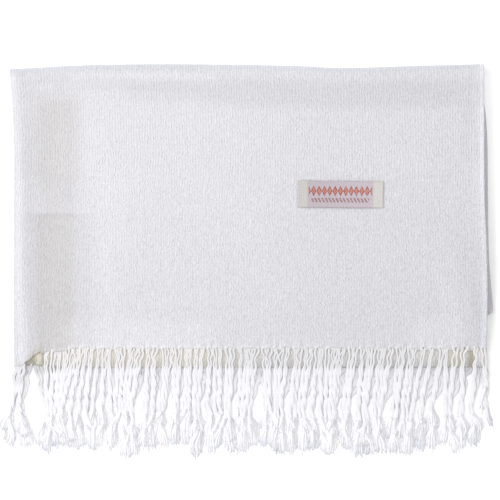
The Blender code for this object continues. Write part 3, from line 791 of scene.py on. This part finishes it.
def numbered_grid(columns, rows):
    """A flat grid whose points know their own column and row."""
    bm = bmesh.new()
    bmesh.ops.create_grid(bm, x_segments=columns - 1, y_segments=rows - 1, size=0.5)
    column_of = bm.verts.layers.int.new("column")
    row_of = bm.verts.layers.int.new("row")
    for vert in bm.verts:
        vert[column_of] = round((vert.co.x + 0.5) * (columns - 1))
        vert[row_of] = round((vert.co.y + 0.5) * (rows - 1))
    return bm, column_of, row_of


def set_uv(bm, place_of):
    """Give every corner the place on the cut cloth that its point has."""
    uv = bm.loops.layers.uv.new("cut")
    for face in bm.faces:
        for loop in face.loops:
            loop[uv].uv = place_of(loop.vert)


def set_shade(bm, dark):
    shade = bm.verts.layers.float.new("shade")
    for vert in bm.verts:
        vert[shade] = dark


def darken(vert, shade, share):
    vert[shade] = 1.0 - (1.0 - vert[shade]) * (1.0 - share)


def set_tone(bm, place_of, tones):
    """Painted shade and light: darker, lighter, warmer or cooler places of the cloth, from rows as
    in TONES.
    """
    shade = bm.verts.layers.float.new("shade")
    warmth = bm.verts.layers.float.new("warmth")
    for vert in bm.verts:
        x, y = (value / MM for value in place_of(vert))
        for left, right, low, high, soft_x, soft_y, dark, warm in tones:
            there = in_band(x, left, right, soft_x) * in_band(y, low, high, soft_y)
            darken(vert, shade, dark * there)
            vert[warmth] += warm * there


def set_pinches(bm, rows):
    """Painted shade of small creases that run up into the cloth between two locks; the creases
    themselves are not in the mesh.
    """
    crease_shade = bm.verts.layers.float.new("crease_shade")
    row_of = bm.verts.layers.int["row"]
    stray = random.Random(5)
    lines = []
    for before, after in zip(LOCK_ROOTS, LOCK_ROOTS[1:]):
        lines.append((0.5 * (before[1] + after[0]), stray.uniform(-0.3, 0.35),
                      stray.uniform(2.0, 11.0) * MM))
    for vert in bm.verts:
        beyond = rows[vert[row_of]] - rows[0]
        if beyond > PINCHED:
            continue
        for x, slant, length in lines:
            away = abs(vert.co.x - x - slant * beyond)
            if away < PINCH_WIDTH:
                fade = 1.0 - eased(beyond / length)
                vert[crease_shade] = max(vert[crease_shade], fade * (1.0 - away / PINCH_WIDTH))


# --- the two plies

def woven_rows(edge):
    """Lengths up the panel of the rows of points, close together at the woven edge."""
    rows = [edge]
    for step, until in ((0.5, 4.0), (0.9, 10.0), (1.8, 60.0), (3.0, 170.0)):
        while rows[-1] - edge < until * MM and rows[-1] < ROLL_LINE - step * MM:
            rows.append(rows[-1] + step * MM)
    while rows[-1] < ROLL_LINE - 1.5 * MM:
        rows.append(rows[-1] + 1.4 * MM)
    rows[-1] = ROLL_LINE
    return rows


def turn_rows(turn, steps):
    return [ROLL_LINE + ROLL_DEPTH * turn * (index + 1) / steps for index in range(steps)]


def edge_pull(across, beyond):
    """How the locks pull at the woven edge: along the panel, and up or down."""
    near = exp(-beyond / ARCH_REACH)
    wave, rise = arch(end_x(across))
    return (rise * wave - EDGE_SAG) * near, ARCH_DIP * (wave - 0.4) * near


def front_cloth(cloth):
    """The front ply, with the long fold that carries on round into the lower ply."""
    rows = woven_rows(FRONT_EDGE) + turn_rows(FRONT_TURN, 18)
    half_fold = 0.5 * (2.0 * cloth.thickness + LAYER_GAP)
    bulge = 1.3 * half_fold
    tucks = [("tuck", distance * MM) for distance in (6.0, 3.0, 1.0)]
    bends = [("bend", pi * (1.0 - index / 8.0)) for index in range(9)]
    face_start = bulge / END_WIDTH
    steps = round((1.0 - face_start) * END_WIDTH / cloth.column)
    face = [("face", mix(face_start, 1.0, (index + 1) / steps)) for index in range(steps)]
    columns = tucks + bends + face
    bm, column_of, row_of = numbered_grid(len(columns), len(rows))

    def point(column, row):
        kind, value = columns[column]
        along = rows[row]
        across = value if kind == "face" else face_start
        pulled, sunk = edge_pull(across, along - FRONT_EDGE)
        along = front_along(across, along) + pulled
        depth, aside = 0.0, 0.0
        if kind == "bend":
            depth = half_fold * (1.0 - cos(value))
            aside = -bulge * sin(value)
        elif kind == "tuck":
            depth, aside = 2.0 * half_fold, value
        place = cloth_point(across, along, depth)
        place.x += aside
        place.z += sunk
        return place

    lengths = []
    for kind, value in columns:
        if kind == "face":
            lengths.append(value * END_WIDTH)
        elif kind == "bend":
            lengths.append(bulge - value * half_fold)
        else:
            lengths.append(bulge - pi * half_fold - value)
    for vert in bm.verts:
        vert.co = point(vert[column_of], vert[row_of])
    set_uv(bm, lambda vert: (lengths[vert[column_of]], rows[vert[row_of]]))
    set_tone(bm, lambda vert: (vert.co.x, rows[vert[row_of]]), TONES)
    set_pinches(bm, rows)
    piece = add_piece("front_cloth", bm, cloth_material("crepe_cloth", cloth), "cloth")
    add_thickness(piece, cloth.thickness)
    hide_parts("front_ply")
    return piece


def under_cloth(cloth):
    """The lower ply, from where the front ply's fold ends to the selvedge."""
    rows = woven_rows(UNDER_EDGE) + turn_rows(UNDER_TURN, 10)
    depth = cloth.thickness + LAYER_GAP
    start = 7.0 * MM / END_WIDTH
    steps = round(END_WIDTH / (1.2 * cloth.column))
    shares = [mix(start, 1.0, index / steps) for index in range(steps + 1)]
    bm, column_of, row_of = numbered_grid(len(shares), len(rows))
    for vert in bm.verts:
        across, along = shares[vert[column_of]], rows[vert[row_of]]
        pulled, sunk = edge_pull(across, along - UNDER_EDGE)
        vert.co = cloth_point(across, under_along(across, along) + 0.5 * pulled, depth)
        vert.co.z += 0.5 * sunk
    set_uv(bm, lambda vert: (-shares[vert[column_of]] * END_WIDTH, rows[vert[row_of]]))
    set_tone(bm, lambda vert: (vert.co.x, rows[vert[row_of]]), UNDER_TONES)
    shade, warmth = bm.verts.layers.float["shade"], bm.verts.layers.float["warmth"]
    # Painted shade between two locks: darker and warmer.
    for vert in bm.verts:
        between = max(0.0, -arch(vert.co.x)[0])
        darken(vert, shade, GAP_SHADE * between)
        vert[warmth] += GAP_WARMTH * between
    piece = add_piece("under_cloth", bm, cloth_material("crepe_cloth_below", cloth), "cloth")
    add_thickness(piece, cloth.thickness)
    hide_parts("under_ply")
    return piece


# --- the folded layers

def layer_rings():
    """Steps down the packet's side: height left, ply number and place in the ply."""
    plies = PANELS * PLIES_TO_A_PANEL
    return [(1.0 - (ply + place) / plies, ply, place) for ply in range(plies) for place in PROFILE]


def wander(layer, run, seed):
    """How far one layer's edge strays from the packet's side."""
    return LAYER_WANDER * noise.noise(Vector((layer * 3.7 + seed, run / LAYER_WANDER_LENGTH, 0.0)))


def bulged(place):
    return sqrt(max(0.0, 1.0 - (2.0 * place - 1.0) ** 2))


def side_bulge(side, ply, place, run):
    """How far the packet's side stands out at one height, by the folds or edges that lie there."""
    panel, second = divmod(ply, PLIES_TO_A_PANEL)
    in_panel = (second + place) / PLIES_TO_A_PANEL
    if side == "fold":
        return FOLD_BULGE * bulged(in_panel) + wander(panel, run, 11.0)
    if side == "selvedge":
        return PLY_BULGE * bulged(place) + 1.4 * wander(ply, run, 29.0)
    pair, half = divmod(panel + 1, 2)
    in_pair = (half + in_panel) / 2.0
    return BACK_BULGE * bulged(in_pair) + 0.15 * MM * bulged(place) + wander(pair, run, 43.0)


def folded_cloth(cloth):
    """The panels under the two plies: one rounded heap, layered all round its edges."""
    inset = LAYER_SETBACK / END_WIDTH
    last_column, last_row = PACKET_COLUMNS - 1, PACKET_ROWS - 1
    shares = [mix(inset, 1.0 - inset, index / last_column) for index in range(PACKET_COLUMNS)]
    top = ROLL_LINE + 0.5 * pi * ROLL_DEPTH
    rows = [mix(PACKET_START, top, index / last_row) for index in range(PACKET_ROWS)]
    bm, column_of, row_of = numbered_grid(PACKET_COLUMNS, PACKET_ROWS)
    for vert in bm.verts:
        vert.co = cloth_point(shares[vert[column_of]], rows[vert[row_of]], PACKET_DEPTH)
    rim = [edge for edge in bm.edges if edge.is_boundary]
    rim_top = {}
    for edge in rim:
        for vert in edge.verts:
            rim_top[(vert[column_of], vert[row_of])] = vert.co.copy()
    for height, ply, place in layer_rings():
        grown = bmesh.ops.extrude_edge_only(bm, edges=rim)["geom"]
        rim = [item for item in grown if isinstance(item, bmesh.types.BMEdge) and item.is_boundary]
        for vert in (item for item in grown if isinstance(item, bmesh.types.BMVert)):
            column, row = vert[column_of], vert[row_of]
            start = rim_top[(column, row)]
            x, y = start.x, start.y
            if column == 0:
                x -= side_bulge("fold", ply, place, y)
            if column == last_column:
                x += side_bulge("selvedge", ply, place, y)
            if row == 0:
                y -= side_bulge("turn", ply, place, x)
            if row == last_row:
                y += side_bulge("turn", ply, place, x)
            slant = eased((rows[row] - SLANT_START) / (ROLL_LINE - SLANT_START))
            y -= slant * PACKET_SLANT * (1.0 - height)
            vert.co = Vector((x, y, start.z * height))
    bmesh.ops.holes_fill(bm, edges=rim, sides=len(rim))
    bmesh.ops.recalc_face_normals(bm, faces=bm.faces[:])
    set_uv(bm, lambda vert: (vert.co.x + vert.co.z, vert.co.y + vert.co.z))
    set_shade(bm, PACKET_SHADE)
    piece = add_piece("folded_cloth", bm, cloth_material("crepe_cloth_folded", cloth), "cloth")
    piece.data.set_sharp_from_angle(angle=radians(60.0))
    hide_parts("folded_layers")
    return piece


def turned_layer(cloth):
    """The corner of a layer that was not folded square and peeks out past the selvedges."""
    low, high = PEEK_EDGE[0][0], PEEK_EDGE[-1][0]
    bm, column_of, row_of = numbered_grid(PEEK_COLUMNS, PEEK_ROWS)
    for vert in bm.verts:
        up = vert[row_of] / (PEEK_ROWS - 1)
        y = mix(low, high, eased(up) * 0.3 + 0.7 * up)
        share = vert[column_of] / (PEEK_COLUMNS - 1)
        x = mix(PEEK_INSIDE, curve_value(PEEK_EDGE, y), share)
        droop = 0.5 * MM * share ** 2 + 0.25 * MM * noise.noise(Vector((y / (30.0 * MM), 5.0, 1.0)))
        vert.co = Vector((x, y, PEEK_HEIGHT - droop))
    set_uv(bm, lambda vert: (vert.co.x, vert.co.y))
    set_shade(bm, PEEK_SHADE)
    piece = add_piece("turned_layer", bm, cloth_material("crepe_cloth_turned", cloth), "cloth")
    add_thickness(piece, PEEK_THICKNESS)
    return piece


# --- the fringe

UP = Vector((0.0, 0.0, 1.0))


def tube_template(name, sides, stations):
    """A closed tube whose points know their side and station, to be laid along a path."""
    bm = bmesh.new()
    side_of = bm.verts.layers.int.new("side")
    station_of = bm.verts.layers.int.new("station")
    ring = bmesh.ops.create_circle(bm, cap_ends=True, segments=sides, radius=1.0)["verts"]
    for number, vert in enumerate(ring):
        vert[side_of] = number
    face = bm.faces[:][0]
    bmesh.ops.duplicate(bm, geom=[face])
    for station in range(1, stations):
        face = bmesh.ops.extrude_discrete_faces(bm, faces=[face])["faces"][0]
        for vert in face.verts:
            vert[station_of] = station
            vert.co.z = station
    bmesh.ops.remove_doubles(bm, verts=bm.verts[:], dist=0.001)
    bmesh.ops.recalc_face_normals(bm, faces=bm.faces[:])
    uv = bm.loops.layers.uv.new("cut")
    for face in bm.faces:
        met = {loop.vert[side_of] for loop in face.loops}
        wraps = len(face.verts) == 4 and met >= {0, sides - 1}
        for loop in face.loops:
            side = loop.vert[side_of]
            loop[uv].uv = ((sides if wraps and side == 0 else side) / sides, loop.vert[station_of])
    mesh = bpy.data.meshes.new(name)
    bm.to_mesh(mesh)
    bm.free()
    return mesh


def tube_mesh():
    """An empty mesh with the layers that lay_tube fills."""
    bm = bmesh.new()
    for layer in ("side", "station"):
        bm.verts.layers.int.new(layer)
    for layer in ("shade", "warmth"):
        bm.verts.layers.float.new(layer)
    bm.loops.layers.uv.new("cut")
    return bm


def lay_tube(bm, template, centres, section):
    """Add the template along the centres. section(station, side) gives out, up, shade, warmth."""
    start = len(bm.verts)
    face_start = len(bm.faces)
    bm.from_mesh(template)
    bm.verts.ensure_lookup_table()
    bm.faces.ensure_lookup_table()
    side_of = bm.verts.layers.int["side"]
    station_of = bm.verts.layers.int["station"]
    shade = bm.verts.layers.float["shade"]
    warmth = bm.verts.layers.float["warmth"]
    uv = bm.loops.layers.uv["cut"]
    last = len(centres) - 1
    frames = []
    for index in range(last + 1):
        ahead = (centres[min(index + 1, last)] - centres[max(index - 1, 0)]).normalized()
        aside = ahead.cross(UP).normalized()
        frames.append((aside, aside.cross(ahead)))
    lengths = [0.0]
    for index in range(last):
        lengths.append(lengths[-1] + (centres[index + 1] - centres[index]).length)
    for index in range(start, len(bm.verts)):
        vert = bm.verts[index]
        station = vert[station_of]
        out, rise, dark, warm = section(station, vert[side_of])
        aside, upward = frames[station]
        vert.co = centres[station] + aside * out + upward * rise
        vert[shade] = dark
        vert[warmth] = warm
    for index in range(face_start, len(bm.faces)):
        for loop in bm.faces[index].loops:
            loop[uv].uv.y = lengths[loop.vert[station_of]]


def strand_lanes(row):
    """Where every strand passes: its root and root width, neck, knee, calf and tip.

    An even row leaves its edge without gaps, as the lower ply's does.
    """
    stray = random.Random(row.seed)
    count = sum(lock[1] for lock in FRINGE_LOCKS)
    even_pitch = END_WIDTH / count
    lanes = []
    for span, filled, lock in zip(LOCK_ROOTS, FILLED_ROOTS, FRINGE_LOCKS):
        _gap, strands, knee, calf, tip, pitch, reach = lock
        middle = 0.5 * (span[0] + span[1])
        for index in range(strands):
            place = index - 0.5 * (strands - 1)
            aside = place * pitch + stray.uniform(-0.5, 0.5)
            neck = middle + place * ROOT_PITCH
            root = mix(filled[0], filled[1], (index + 0.5) / strands)
            width = (filled[1] - filled[0]) / strands
            if row.even:
                root = LEFT_END + (len(lanes) + 0.5) * even_pitch
                width = even_pitch
                neck = mix(root, neck, 0.75)
            lanes.append(SimpleNamespace(
                root=root, width=width,
                neck=neck + stray.uniform(-1.0, 1.0) * MM,
                knee=middle + (knee + aside) * MM,
                calf=middle + (calf + aside + stray.uniform(-0.6, 0.6)) * MM,
                tip=middle + (tip + aside + stray.uniform(-1.2, 1.2)) * MM,
                end=row.edge - (reach + row.longer + stray.uniform(-2.5, 2.5)) * MM,
                fan=OUTLIER_FAN if lock is FRINGE_LOCKS[-1] else 1.0,
            ))
    return lanes


def strand_path(lane, edge, tuft, rest, root_height, stray):
    """Points down the middle of one twisted strand, from inside the cloth to its tuft."""
    knee_at = edge - KNEE_Y
    calf_at = max(edge - CALF_Y, knee_at + 8.0 * MM)
    sideways = (
        # length down from the woven edge, x
        (0.0, lane.root),
        (NECK, lane.neck + 0.06 * (lane.knee - lane.neck)),
        (BAND, mix(lane.neck, lane.knee, 0.28)),
        (knee_at, lane.knee),
        (calf_at, lane.calf),
        (max(edge - lane.end, calf_at + 8.0 * MM), lane.tip),
    )
    wave = stray.uniform(0.15, 0.6) * MM
    ripple = stray.uniform(0.2, 0.8) * MM
    phase = stray.uniform(0.0, tau)
    wave_length = stray.uniform(16.0, 30.0) * MM
    ripple_length = stray.uniform(8.0, 13.0) * MM
    rest = rest + stray.uniform(-0.2, 0.2) * MM
    root = lane.root
    heights = (
        (-ROOT_IN, root_height(root, edge + ROOT_IN, 0.0)),
        (0.0, root_height(root, edge, 0.3)),
        (NECK, root_height(root, edge - NECK, 1.0)),
        (NECK + 9.0 * MM, mix(root_height(root, edge - NECK - 9.0 * MM, 1.0), rest, 0.4)),
        (NECK + 24.0 * MM, rest),
        (200.0 * MM, rest),
    )
    points = []
    span = edge + ROOT_IN - (lane.end + tuft)
    for index in range(STRAND_STATIONS):
        down = span * index / (STRAND_STATIONS - 1) - ROOT_IN
        free = eased((down - NECK) / (20.0 * MM))
        near = eased(down / (2.5 * MM)) * (1.0 - free)
        x = curve_value(sideways, max(0.0, down))
        x += wave * free * sin(phase + tau * down / wave_length)
        x += ripple * near * sin(2.0 * phase + tau * down / ripple_length)
        points.append(Vector((x, edge - down, curve_value(heights, down))))
    return points


def lay_strand(bm, template, points, lane, sizes, tone_at, fringe, stray):
    """Two plies: side by side where they leave the cloth, twisted round each other below."""
    phase = stray.uniform(0.0, tau)
    swell = stray.uniform(0.9, 1.1)
    step = (points[1] - points[0]).length
    last = STRAND_STATIONS - 1
    parting = stray.uniform(*PLY_PARTING)
    opens, opening = stray.uniform(0.1, 0.5), stray.uniform(0.0, tau)
    opening_length = stray.uniform(9.0, 16.0) * MM
    spreads, widths, heights, lines = (
        [(row[0], row[column]) for row in sizes] for column in (1, 2, 3, 4))
    spreads = [(down, spread * mix(parting, 1.0, eased((down - BAND) / BAND_FADE)))
               for down, spread in spreads]
    spreads[0] = (0.0, 0.5 * lane.width)
    stations = []
    for station in range(STRAND_STATIONS):
        down = station * step - ROOT_IN
        twisted = max(0.0, down - TWIST_START)
        tightness = eased(twisted / TWIST_EASE)
        turn = tau * twisted * mix(0.35, 1.0, tightness) / fringe.turn + phase * tightness
        ends = swell * (0.8 if station == last else 1.0)
        near = eased(down / (3.0 * MM)) * (1.0 - eased((down - BAND) / BAND_FADE))
        opened = 1.0 + near * opens * sin(opening + tau * down / opening_length)
        stations.append((turn, ends * opened * curve_value(spreads, down),
                         ends * curve_value(widths, down),
                         curve_value(heights, down), curve_value(lines, down), *tone_at(down)))

    for half_turn in (0.0, pi):

        def section(station, side, half_turn=half_turn):
            turn, spread, width, height, line, dark, warm = stations[station]
            angle = tau * side / PLY_SIDES
            out = 0.5 * spread * cos(turn + half_turn)
            rise = 0.3 * height * sin(turn + half_turn)
            toward = copysign(abs(cos(angle)) ** FLATNESS, cos(angle))
            # Painted shade: dark lines along the two edges of the ply.
            dark += line * EDGE_DARK[1] * max(0.0, 5.0 * toward - 4.0)
            dark += line * EDGE_DARK[0] * max(0.0, -5.0 * toward - 4.0)
            return out + 0.5 * width * toward, rise + 0.5 * height * sin(angle), dark, warm

        lay_tube(bm, template, points, section)


def lay_tuft(bm, template, end, ahead, tip, fan_share, fringe, stray):
    """The frayed end of a strand: flat wavy yarns that swell to a soft, round-ended brush."""
    lean = stray.uniform(-0.25, 0.25)
    aside = ahead.cross(UP).normalized()
    spread = fringe.tuft_width * fan_share * stray.uniform(0.8, 1.25)
    whole = (end - tip).length
    curl = stray.uniform(-0.9, 0.9) * MM
    rest = mix(LEAST_HEIGHT, 0.5 * end.z, stray.random())
    shade = stray.choice(TUFT_SHADES)
    # Painted shade: some tufts' tips turn darker and to the bluish grey tip colour.
    shaded_tip = stray.choice(TUFT_TIP_SHADES)
    for number in range(fringe.yarns):
        place = (number + 0.5) / fringe.yarns - 0.5
        loose = number % 2 == 1
        length = whole * stray.uniform(0.8, 1.0) * (1.0 - 1.1 * place * place)
        if loose:
            length = whole * stray.uniform(0.7, 1.12)
        start_aside = place * STRAND_END
        end_aside = place * spread + lean * length
        end_aside += stray.uniform(-1.0, 1.0) * (2.2 if loose else 0.3) * fan_share * MM
        crown = 0.45 * MM * cos(pi * place) + stray.uniform(-0.08, 0.08) * MM
        wave = stray.uniform(0.1, 0.5) * MM
        wave_length = stray.uniform(7.0, 15.0) * MM
        phase = stray.uniform(0.0, tau)
        half = stray.uniform(0.14, 0.22) * MM if loose else stray.uniform(0.6, 0.9) * MM
        points = []
        for station in range(TUFT_STATIONS):
            share = station / (TUFT_STATIONS - 1)
            run = share * length
            sway = wave * share * sin(phase + tau * run / wave_length)
            sway += curl * sin(pi * share)
            fan = mix(start_aside, end_aside, eased(share * 1.7))
            point = end + ahead * (run - TUFT_INSIDE) + aside * (fan + sway)
            point.z = max(mix(end.z, rest, eased(share * 1.5)) + crown * (1.0 - 0.6 * share),
                          LEAST_HEIGHT)
            points.append(point)
        dark = shade + stray.uniform(-0.03, 0.03)

        def section(station, side, half=half, dark=dark):
            share = station / (TUFT_STATIONS - 1)
            thin = mix(1.0, 0.3, share ** 3)
            angle = tau * (side + 0.5) / TUFT_SIDES
            return (1.41 * half * thin * cos(angle), 0.22 * half * thin * sin(angle),
                    dark + 0.08 * shaded_tip * share ** 2, -shaded_tip * share ** 2)

        lay_tube(bm, template, points, section)


def fringe_yarn(name, node, row, fringe, material):
    """A row of twisted strands with frayed ends, rooted in one woven edge."""
    stray = random.Random(row.seed)
    ply = tube_template(name + "_ply", PLY_SIDES, STRAND_STATIONS)
    yarn = tube_template(name + "_yarn", TUFT_SIDES, TUFT_STATIONS)
    bm = tube_mesh()

    def root_height(x, along, settled):
        depth = mix(row.depth, row.lies, settled)
        return cloth_point(across_at(x, along), along, depth).z

    for lane in strand_lanes(row):
        if not row.even and BARE_CORNER[0] < lane.root < BARE_CORNER[1]:
            continue
        lowered = row.along_of(across_at(lane.root, row.edge), row.edge)
        tuft = fringe.tuft * stray.uniform(0.85, 1.2)
        points = strand_path(lane, lowered, tuft, row.rest, root_height, stray)
        cornered = lane.root < BARE_CORNER[0]
        warm = 0.0 if cornered else 1.0 - 0.8 * in_band(lane.root / MM, *LESS_WARM)

        def tone_at(down, warm=warm * row.root_warmth):
            near = 1.0 - eased((down - row.shaded) / row.fades)
            far = 1.0 - eased((down - row.shaded) / FREE_FROM)
            shade = row.root_shade * (1.1 - 0.5 * warm)
            return mix(FREE_SHADE, row.far_shade, far) + shade * near, warm * near

        sizes = UNDER_STRAND if cornered else row.sizes
        lay_strand(bm, ply, points, lane, sizes, tone_at, fringe, stray)
        ahead = points[-1] - points[-4]
        ahead.z = 0.0
        goal = Vector((lane.tip, lane.end, points[-1].z))
        lay_tuft(bm, yarn, points[-1], ahead.normalized(), goal, lane.fan, fringe, stray)
    piece = add_piece(name, bm, material, "fringe")
    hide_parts(node)
    for template in (ply, yarn):
        bpy.data.meshes.remove(template)


# --- the label

LABEL_CENTRE = (66.0 * MM, 49.0 * MM)
LABEL_TILT = radians(-0.4)
LABEL_LIFT = 0.62 * MM  # its face over the cloth
LABEL_THICKNESS = 0.4 * MM
LABEL_COLUMNS = 64
LABEL_ROWS = 20
STITCHES = 9
STITCH_INSET = 1.3 * MM


def label_place(u, v, lift):
    """A point over the cloth, u and v from the label's middle."""
    x = LABEL_CENTRE[0] + u * cos(LABEL_TILT) - v * sin(LABEL_TILT)
    y = LABEL_CENTRE[1] + u * sin(LABEL_TILT) + v * cos(LABEL_TILT)
    return cloth_point(across_at(x, y), y, -lift)


def woven_label(label):
    """The label: its long edges curl up a little, its ends are sewn down."""
    bm, column_of, row_of = numbered_grid(LABEL_COLUMNS, LABEL_ROWS)
    half_length, half_width = 0.5 * label.length, 0.5 * label.width

    def place_of(vert):
        u = mix(-half_length, half_length, vert[column_of] / (LABEL_COLUMNS - 1))
        v = mix(-half_width, half_width, vert[row_of] / (LABEL_ROWS - 1))
        return u, v

    for vert in bm.verts:
        u, v = place_of(vert)
        to_end = half_length - abs(u)
        lift = LABEL_LIFT + 0.25 * MM * eased(to_end / (12.0 * MM))
        lift += 0.22 * MM * noise.noise(Vector((u / (17.0 * MM), v / (11.0 * MM), 3.0)))
        lift += 0.3 * MM * (v / half_width) ** 4 * eased(to_end / (6.0 * MM))
        sewn = exp(-((to_end - STITCH_INSET) / (0.8 * MM)) ** 2)
        vert.co = label_place(u, v, lift - 0.22 * MM * sewn)
    set_uv(bm, place_of)
    piece = add_piece("woven_label", bm, label_material("label_weave", label), "label")
    add_thickness(piece, LABEL_THICKNESS)
    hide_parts("label")


def label_stitches(label, fringe):
    """Short stitches across both ends of the label."""
    template = tube_template("stitch_template", TUFT_SIDES, TUFT_STATIONS)
    bm = tube_mesh()
    half_length, half_width = 0.5 * label.length, 0.5 * label.width
    pitch = (label.width - 2.0 * MM) / STITCHES
    for end in (-1.0, 1.0):
        for number in range(STITCHES):
            low = -half_width + MM + pitch * (number + 0.12)
            high = low + pitch * 0.76
            points = []
            for station in range(TUFT_STATIONS):
                share = station / (TUFT_STATIONS - 1)
                u = end * (half_length - STITCH_INSET)
                lift = LABEL_LIFT - 0.15 * MM + 0.32 * MM * sin(pi * share)
                points.append(label_place(u, mix(low, high, share), lift))

            def section(_station, side):
                angle = tau * side / TUFT_SIDES
                return 0.16 * MM * cos(angle), 0.16 * MM * sin(angle), 0.0, 0.0

            lay_tube(bm, template, points, section)
    bpy.data.meshes.remove(template)
    add_piece("label_stitches", bm, yarn_material("label_thread", fringe), "label")


# --- the stage

KEY_SIZE = 1.8
KEY_PLACE = (-1.35, 0.42, 1.25)
VIEW_CENTRE = 8.4 * MM  # along the panel, under the camera


def build_floor(stage):
    bm = bmesh.new()
    bmesh.ops.create_grid(bm, x_segments=1, y_segments=1, size=0.5 * stage.floor)
    floor = add_piece("floor", bm, floor_material("floor_paper", stage))


def build_light(stage):
    light = bpy.data.lights.new("key", "AREA")
    light.shape = "SQUARE"
    light.size = KEY_SIZE
    light.energy = stage.key_power
    key = bpy.data.objects.new("key", light)
    key.location = KEY_PLACE
    key.rotation_euler = (-key.location).to_track_quat("-Z", "Y").to_euler()
    bpy.context.scene.collection.objects.link(key)
    world = bpy.data.worlds.new("studio")
    world.use_nodes = True
    back = world.node_tree.nodes["Background"]
    back.inputs["Color"].default_value = (1.0, 1.0, 1.0, 1.0)
    back.inputs["Strength"].default_value = stage.sky
    bpy.context.scene.world = world
    bpy.context.scene.view_settings.view_transform = "Standard"
    bpy.context.scene.view_settings.look = "None"


def build_camera(stage):
    camera = bpy.data.cameras.new("camera")
    face = FACE_HEIGHTS[-2][1]
    camera.sensor_width = 36.0
    camera.lens = camera.sensor_width * (stage.camera_height - face) / stage.frame_width
    made = bpy.data.objects.new("camera", camera)
    made.location = (0.0, VIEW_CENTRE, stage.camera_height)
    bpy.context.scene.collection.objects.link(made)
    bpy.context.scene.camera = made


# --- operators

class SHAWL_OT_cloth(bpy.types.Operator):
    """Lay the front ply and the lower ply of the shawl's end"""

    bl_idname = "shawl.cloth"
    bl_label = "Two plies"

    def execute(self, context):
        cloth = context.scene.shawl_cloth
        front = front_cloth(cloth)
        under = under_cloth(cloth)
        return {"FINISHED"}


class SHAWL_OT_layers(bpy.types.Operator):
    """Lay the folded panels under the two plies, and the layer that peeks out"""

    bl_idname = "shawl.layers"
    bl_label = "Folded layers"

    def execute(self, context):
        cloth = context.scene.shawl_cloth
        folded = folded_cloth(cloth)
        turned = turned_layer(cloth)
        return {"FINISHED"}


class SHAWL_OT_fringe(bpy.types.Operator):
    """Lay both rows of twisted fringe"""

    bl_idname = "shawl.fringe"
    bl_label = "Fringe"

    def execute(self, context):
        fringe = context.scene.shawl_fringe
        thickness = context.scene.shawl_cloth.thickness
        material = yarn_material("fringe_yarn", fringe)
        below = 1.5 * thickness + LAYER_GAP
        # The lower row's root_shade and far_shade are painted shade: it lies under the front row
        # and in its shadow.
        fringe_yarn("under_fringe_yarn", "under_fringe", SimpleNamespace(
            seed=23, even=True, sizes=UNDER_STRAND, edge=UNDER_EDGE, along_of=under_along,
            depth=below, lies=below, rest=0.85 * MM, longer=3.0,
            root_shade=0.16, shaded=2.0 * MM, fades=8.0 * MM, far_shade=0.17, root_warmth=0.0,
        ), fringe, material)
        fringe_yarn("front_fringe_yarn", "front_fringe", SimpleNamespace(
            seed=11, even=False, sizes=FRONT_STRAND, edge=FRONT_EDGE, along_of=front_along,
            depth=0.5 * thickness, lies=thickness + LAYER_GAP - 0.3 * MM,
            rest=1.6 * MM, longer=8.0,
            root_shade=0.10, shaded=12.0 * MM, fades=6.0 * MM, far_shade=0.08, root_warmth=1.0,
        ), fringe, material)
        return {"FINISHED"}


class SHAWL_OT_label(bpy.types.Operator):
    """Sew the woven label on the front ply"""

    bl_idname = "shawl.label"
    bl_label = "Label"

    def execute(self, context):
        woven_label(context.scene.shawl_label)
        label_stitches(context.scene.shawl_label, context.scene.shawl_fringe)
        return {"FINISHED"}


class SHAWL_OT_stage(bpy.types.Operator):
    """Set the floor, the light and the camera"""

    bl_idname = "shawl.stage"
    bl_label = "Stage"

    def execute(self, context):
        stage = context.scene.shawl_stage
        build_floor(stage)
        build_light(stage)
        build_camera(stage)
        return {"FINISHED"}


class SHAWL_PT_panel(bpy.types.Panel):
    """The shawl's pieces and their settings"""

    bl_label = "Folded silk shawl"
    bl_idname = "SHAWL_PT_panel"
    bl_space_type = "VIEW_3D"
    bl_region_type = "UI"
    bl_category = "Shawl"

    def draw(self, context):
        for operator, group in PANEL_ROWS:
            box = self.layout.box()
            box.operator(operator.bl_idname)
            if group is None:
                continue
            settings = getattr(context.scene, group)
            for name in settings.bl_rna.properties.keys():
                if name not in {"rna_type", "name"}:
                    box.prop(settings, name)


SETTINGS = {
    "shawl_cloth": ShawlClothSettings,
    "shawl_fringe": ShawlFringeSettings,
    "shawl_label": ShawlLabelSettings,
    "shawl_stage": ShawlStageSettings,
}
PANEL_ROWS = (
    (SHAWL_OT_cloth, "shawl_cloth"),
    (SHAWL_OT_layers, None),
    (SHAWL_OT_fringe, "shawl_fringe"),
    (SHAWL_OT_label, "shawl_label"),
    (SHAWL_OT_stage, "shawl_stage"),
)
CLASSES = (*SETTINGS.values(), *(operator for operator, _group in PANEL_ROWS), SHAWL_PT_panel)


def register():
    for made in CLASSES:
        bpy.utils.register_class(made)
    for name, group in SETTINGS.items():
        setattr(bpy.types.Scene, name, PointerProperty(type=group))


def unregister():
    for name in SETTINGS:
        delattr(bpy.types.Scene, name)
    for made in reversed(CLASSES):
        bpy.utils.unregister_class(made)


def main():
    register()
    bpy.ops.shawl.cloth()
    bpy.ops.shawl.layers()
    bpy.ops.shawl.fringe()
    bpy.ops.shawl.label()
    bpy.ops.shawl.stage()


if __name__ == "__main__":
    main()
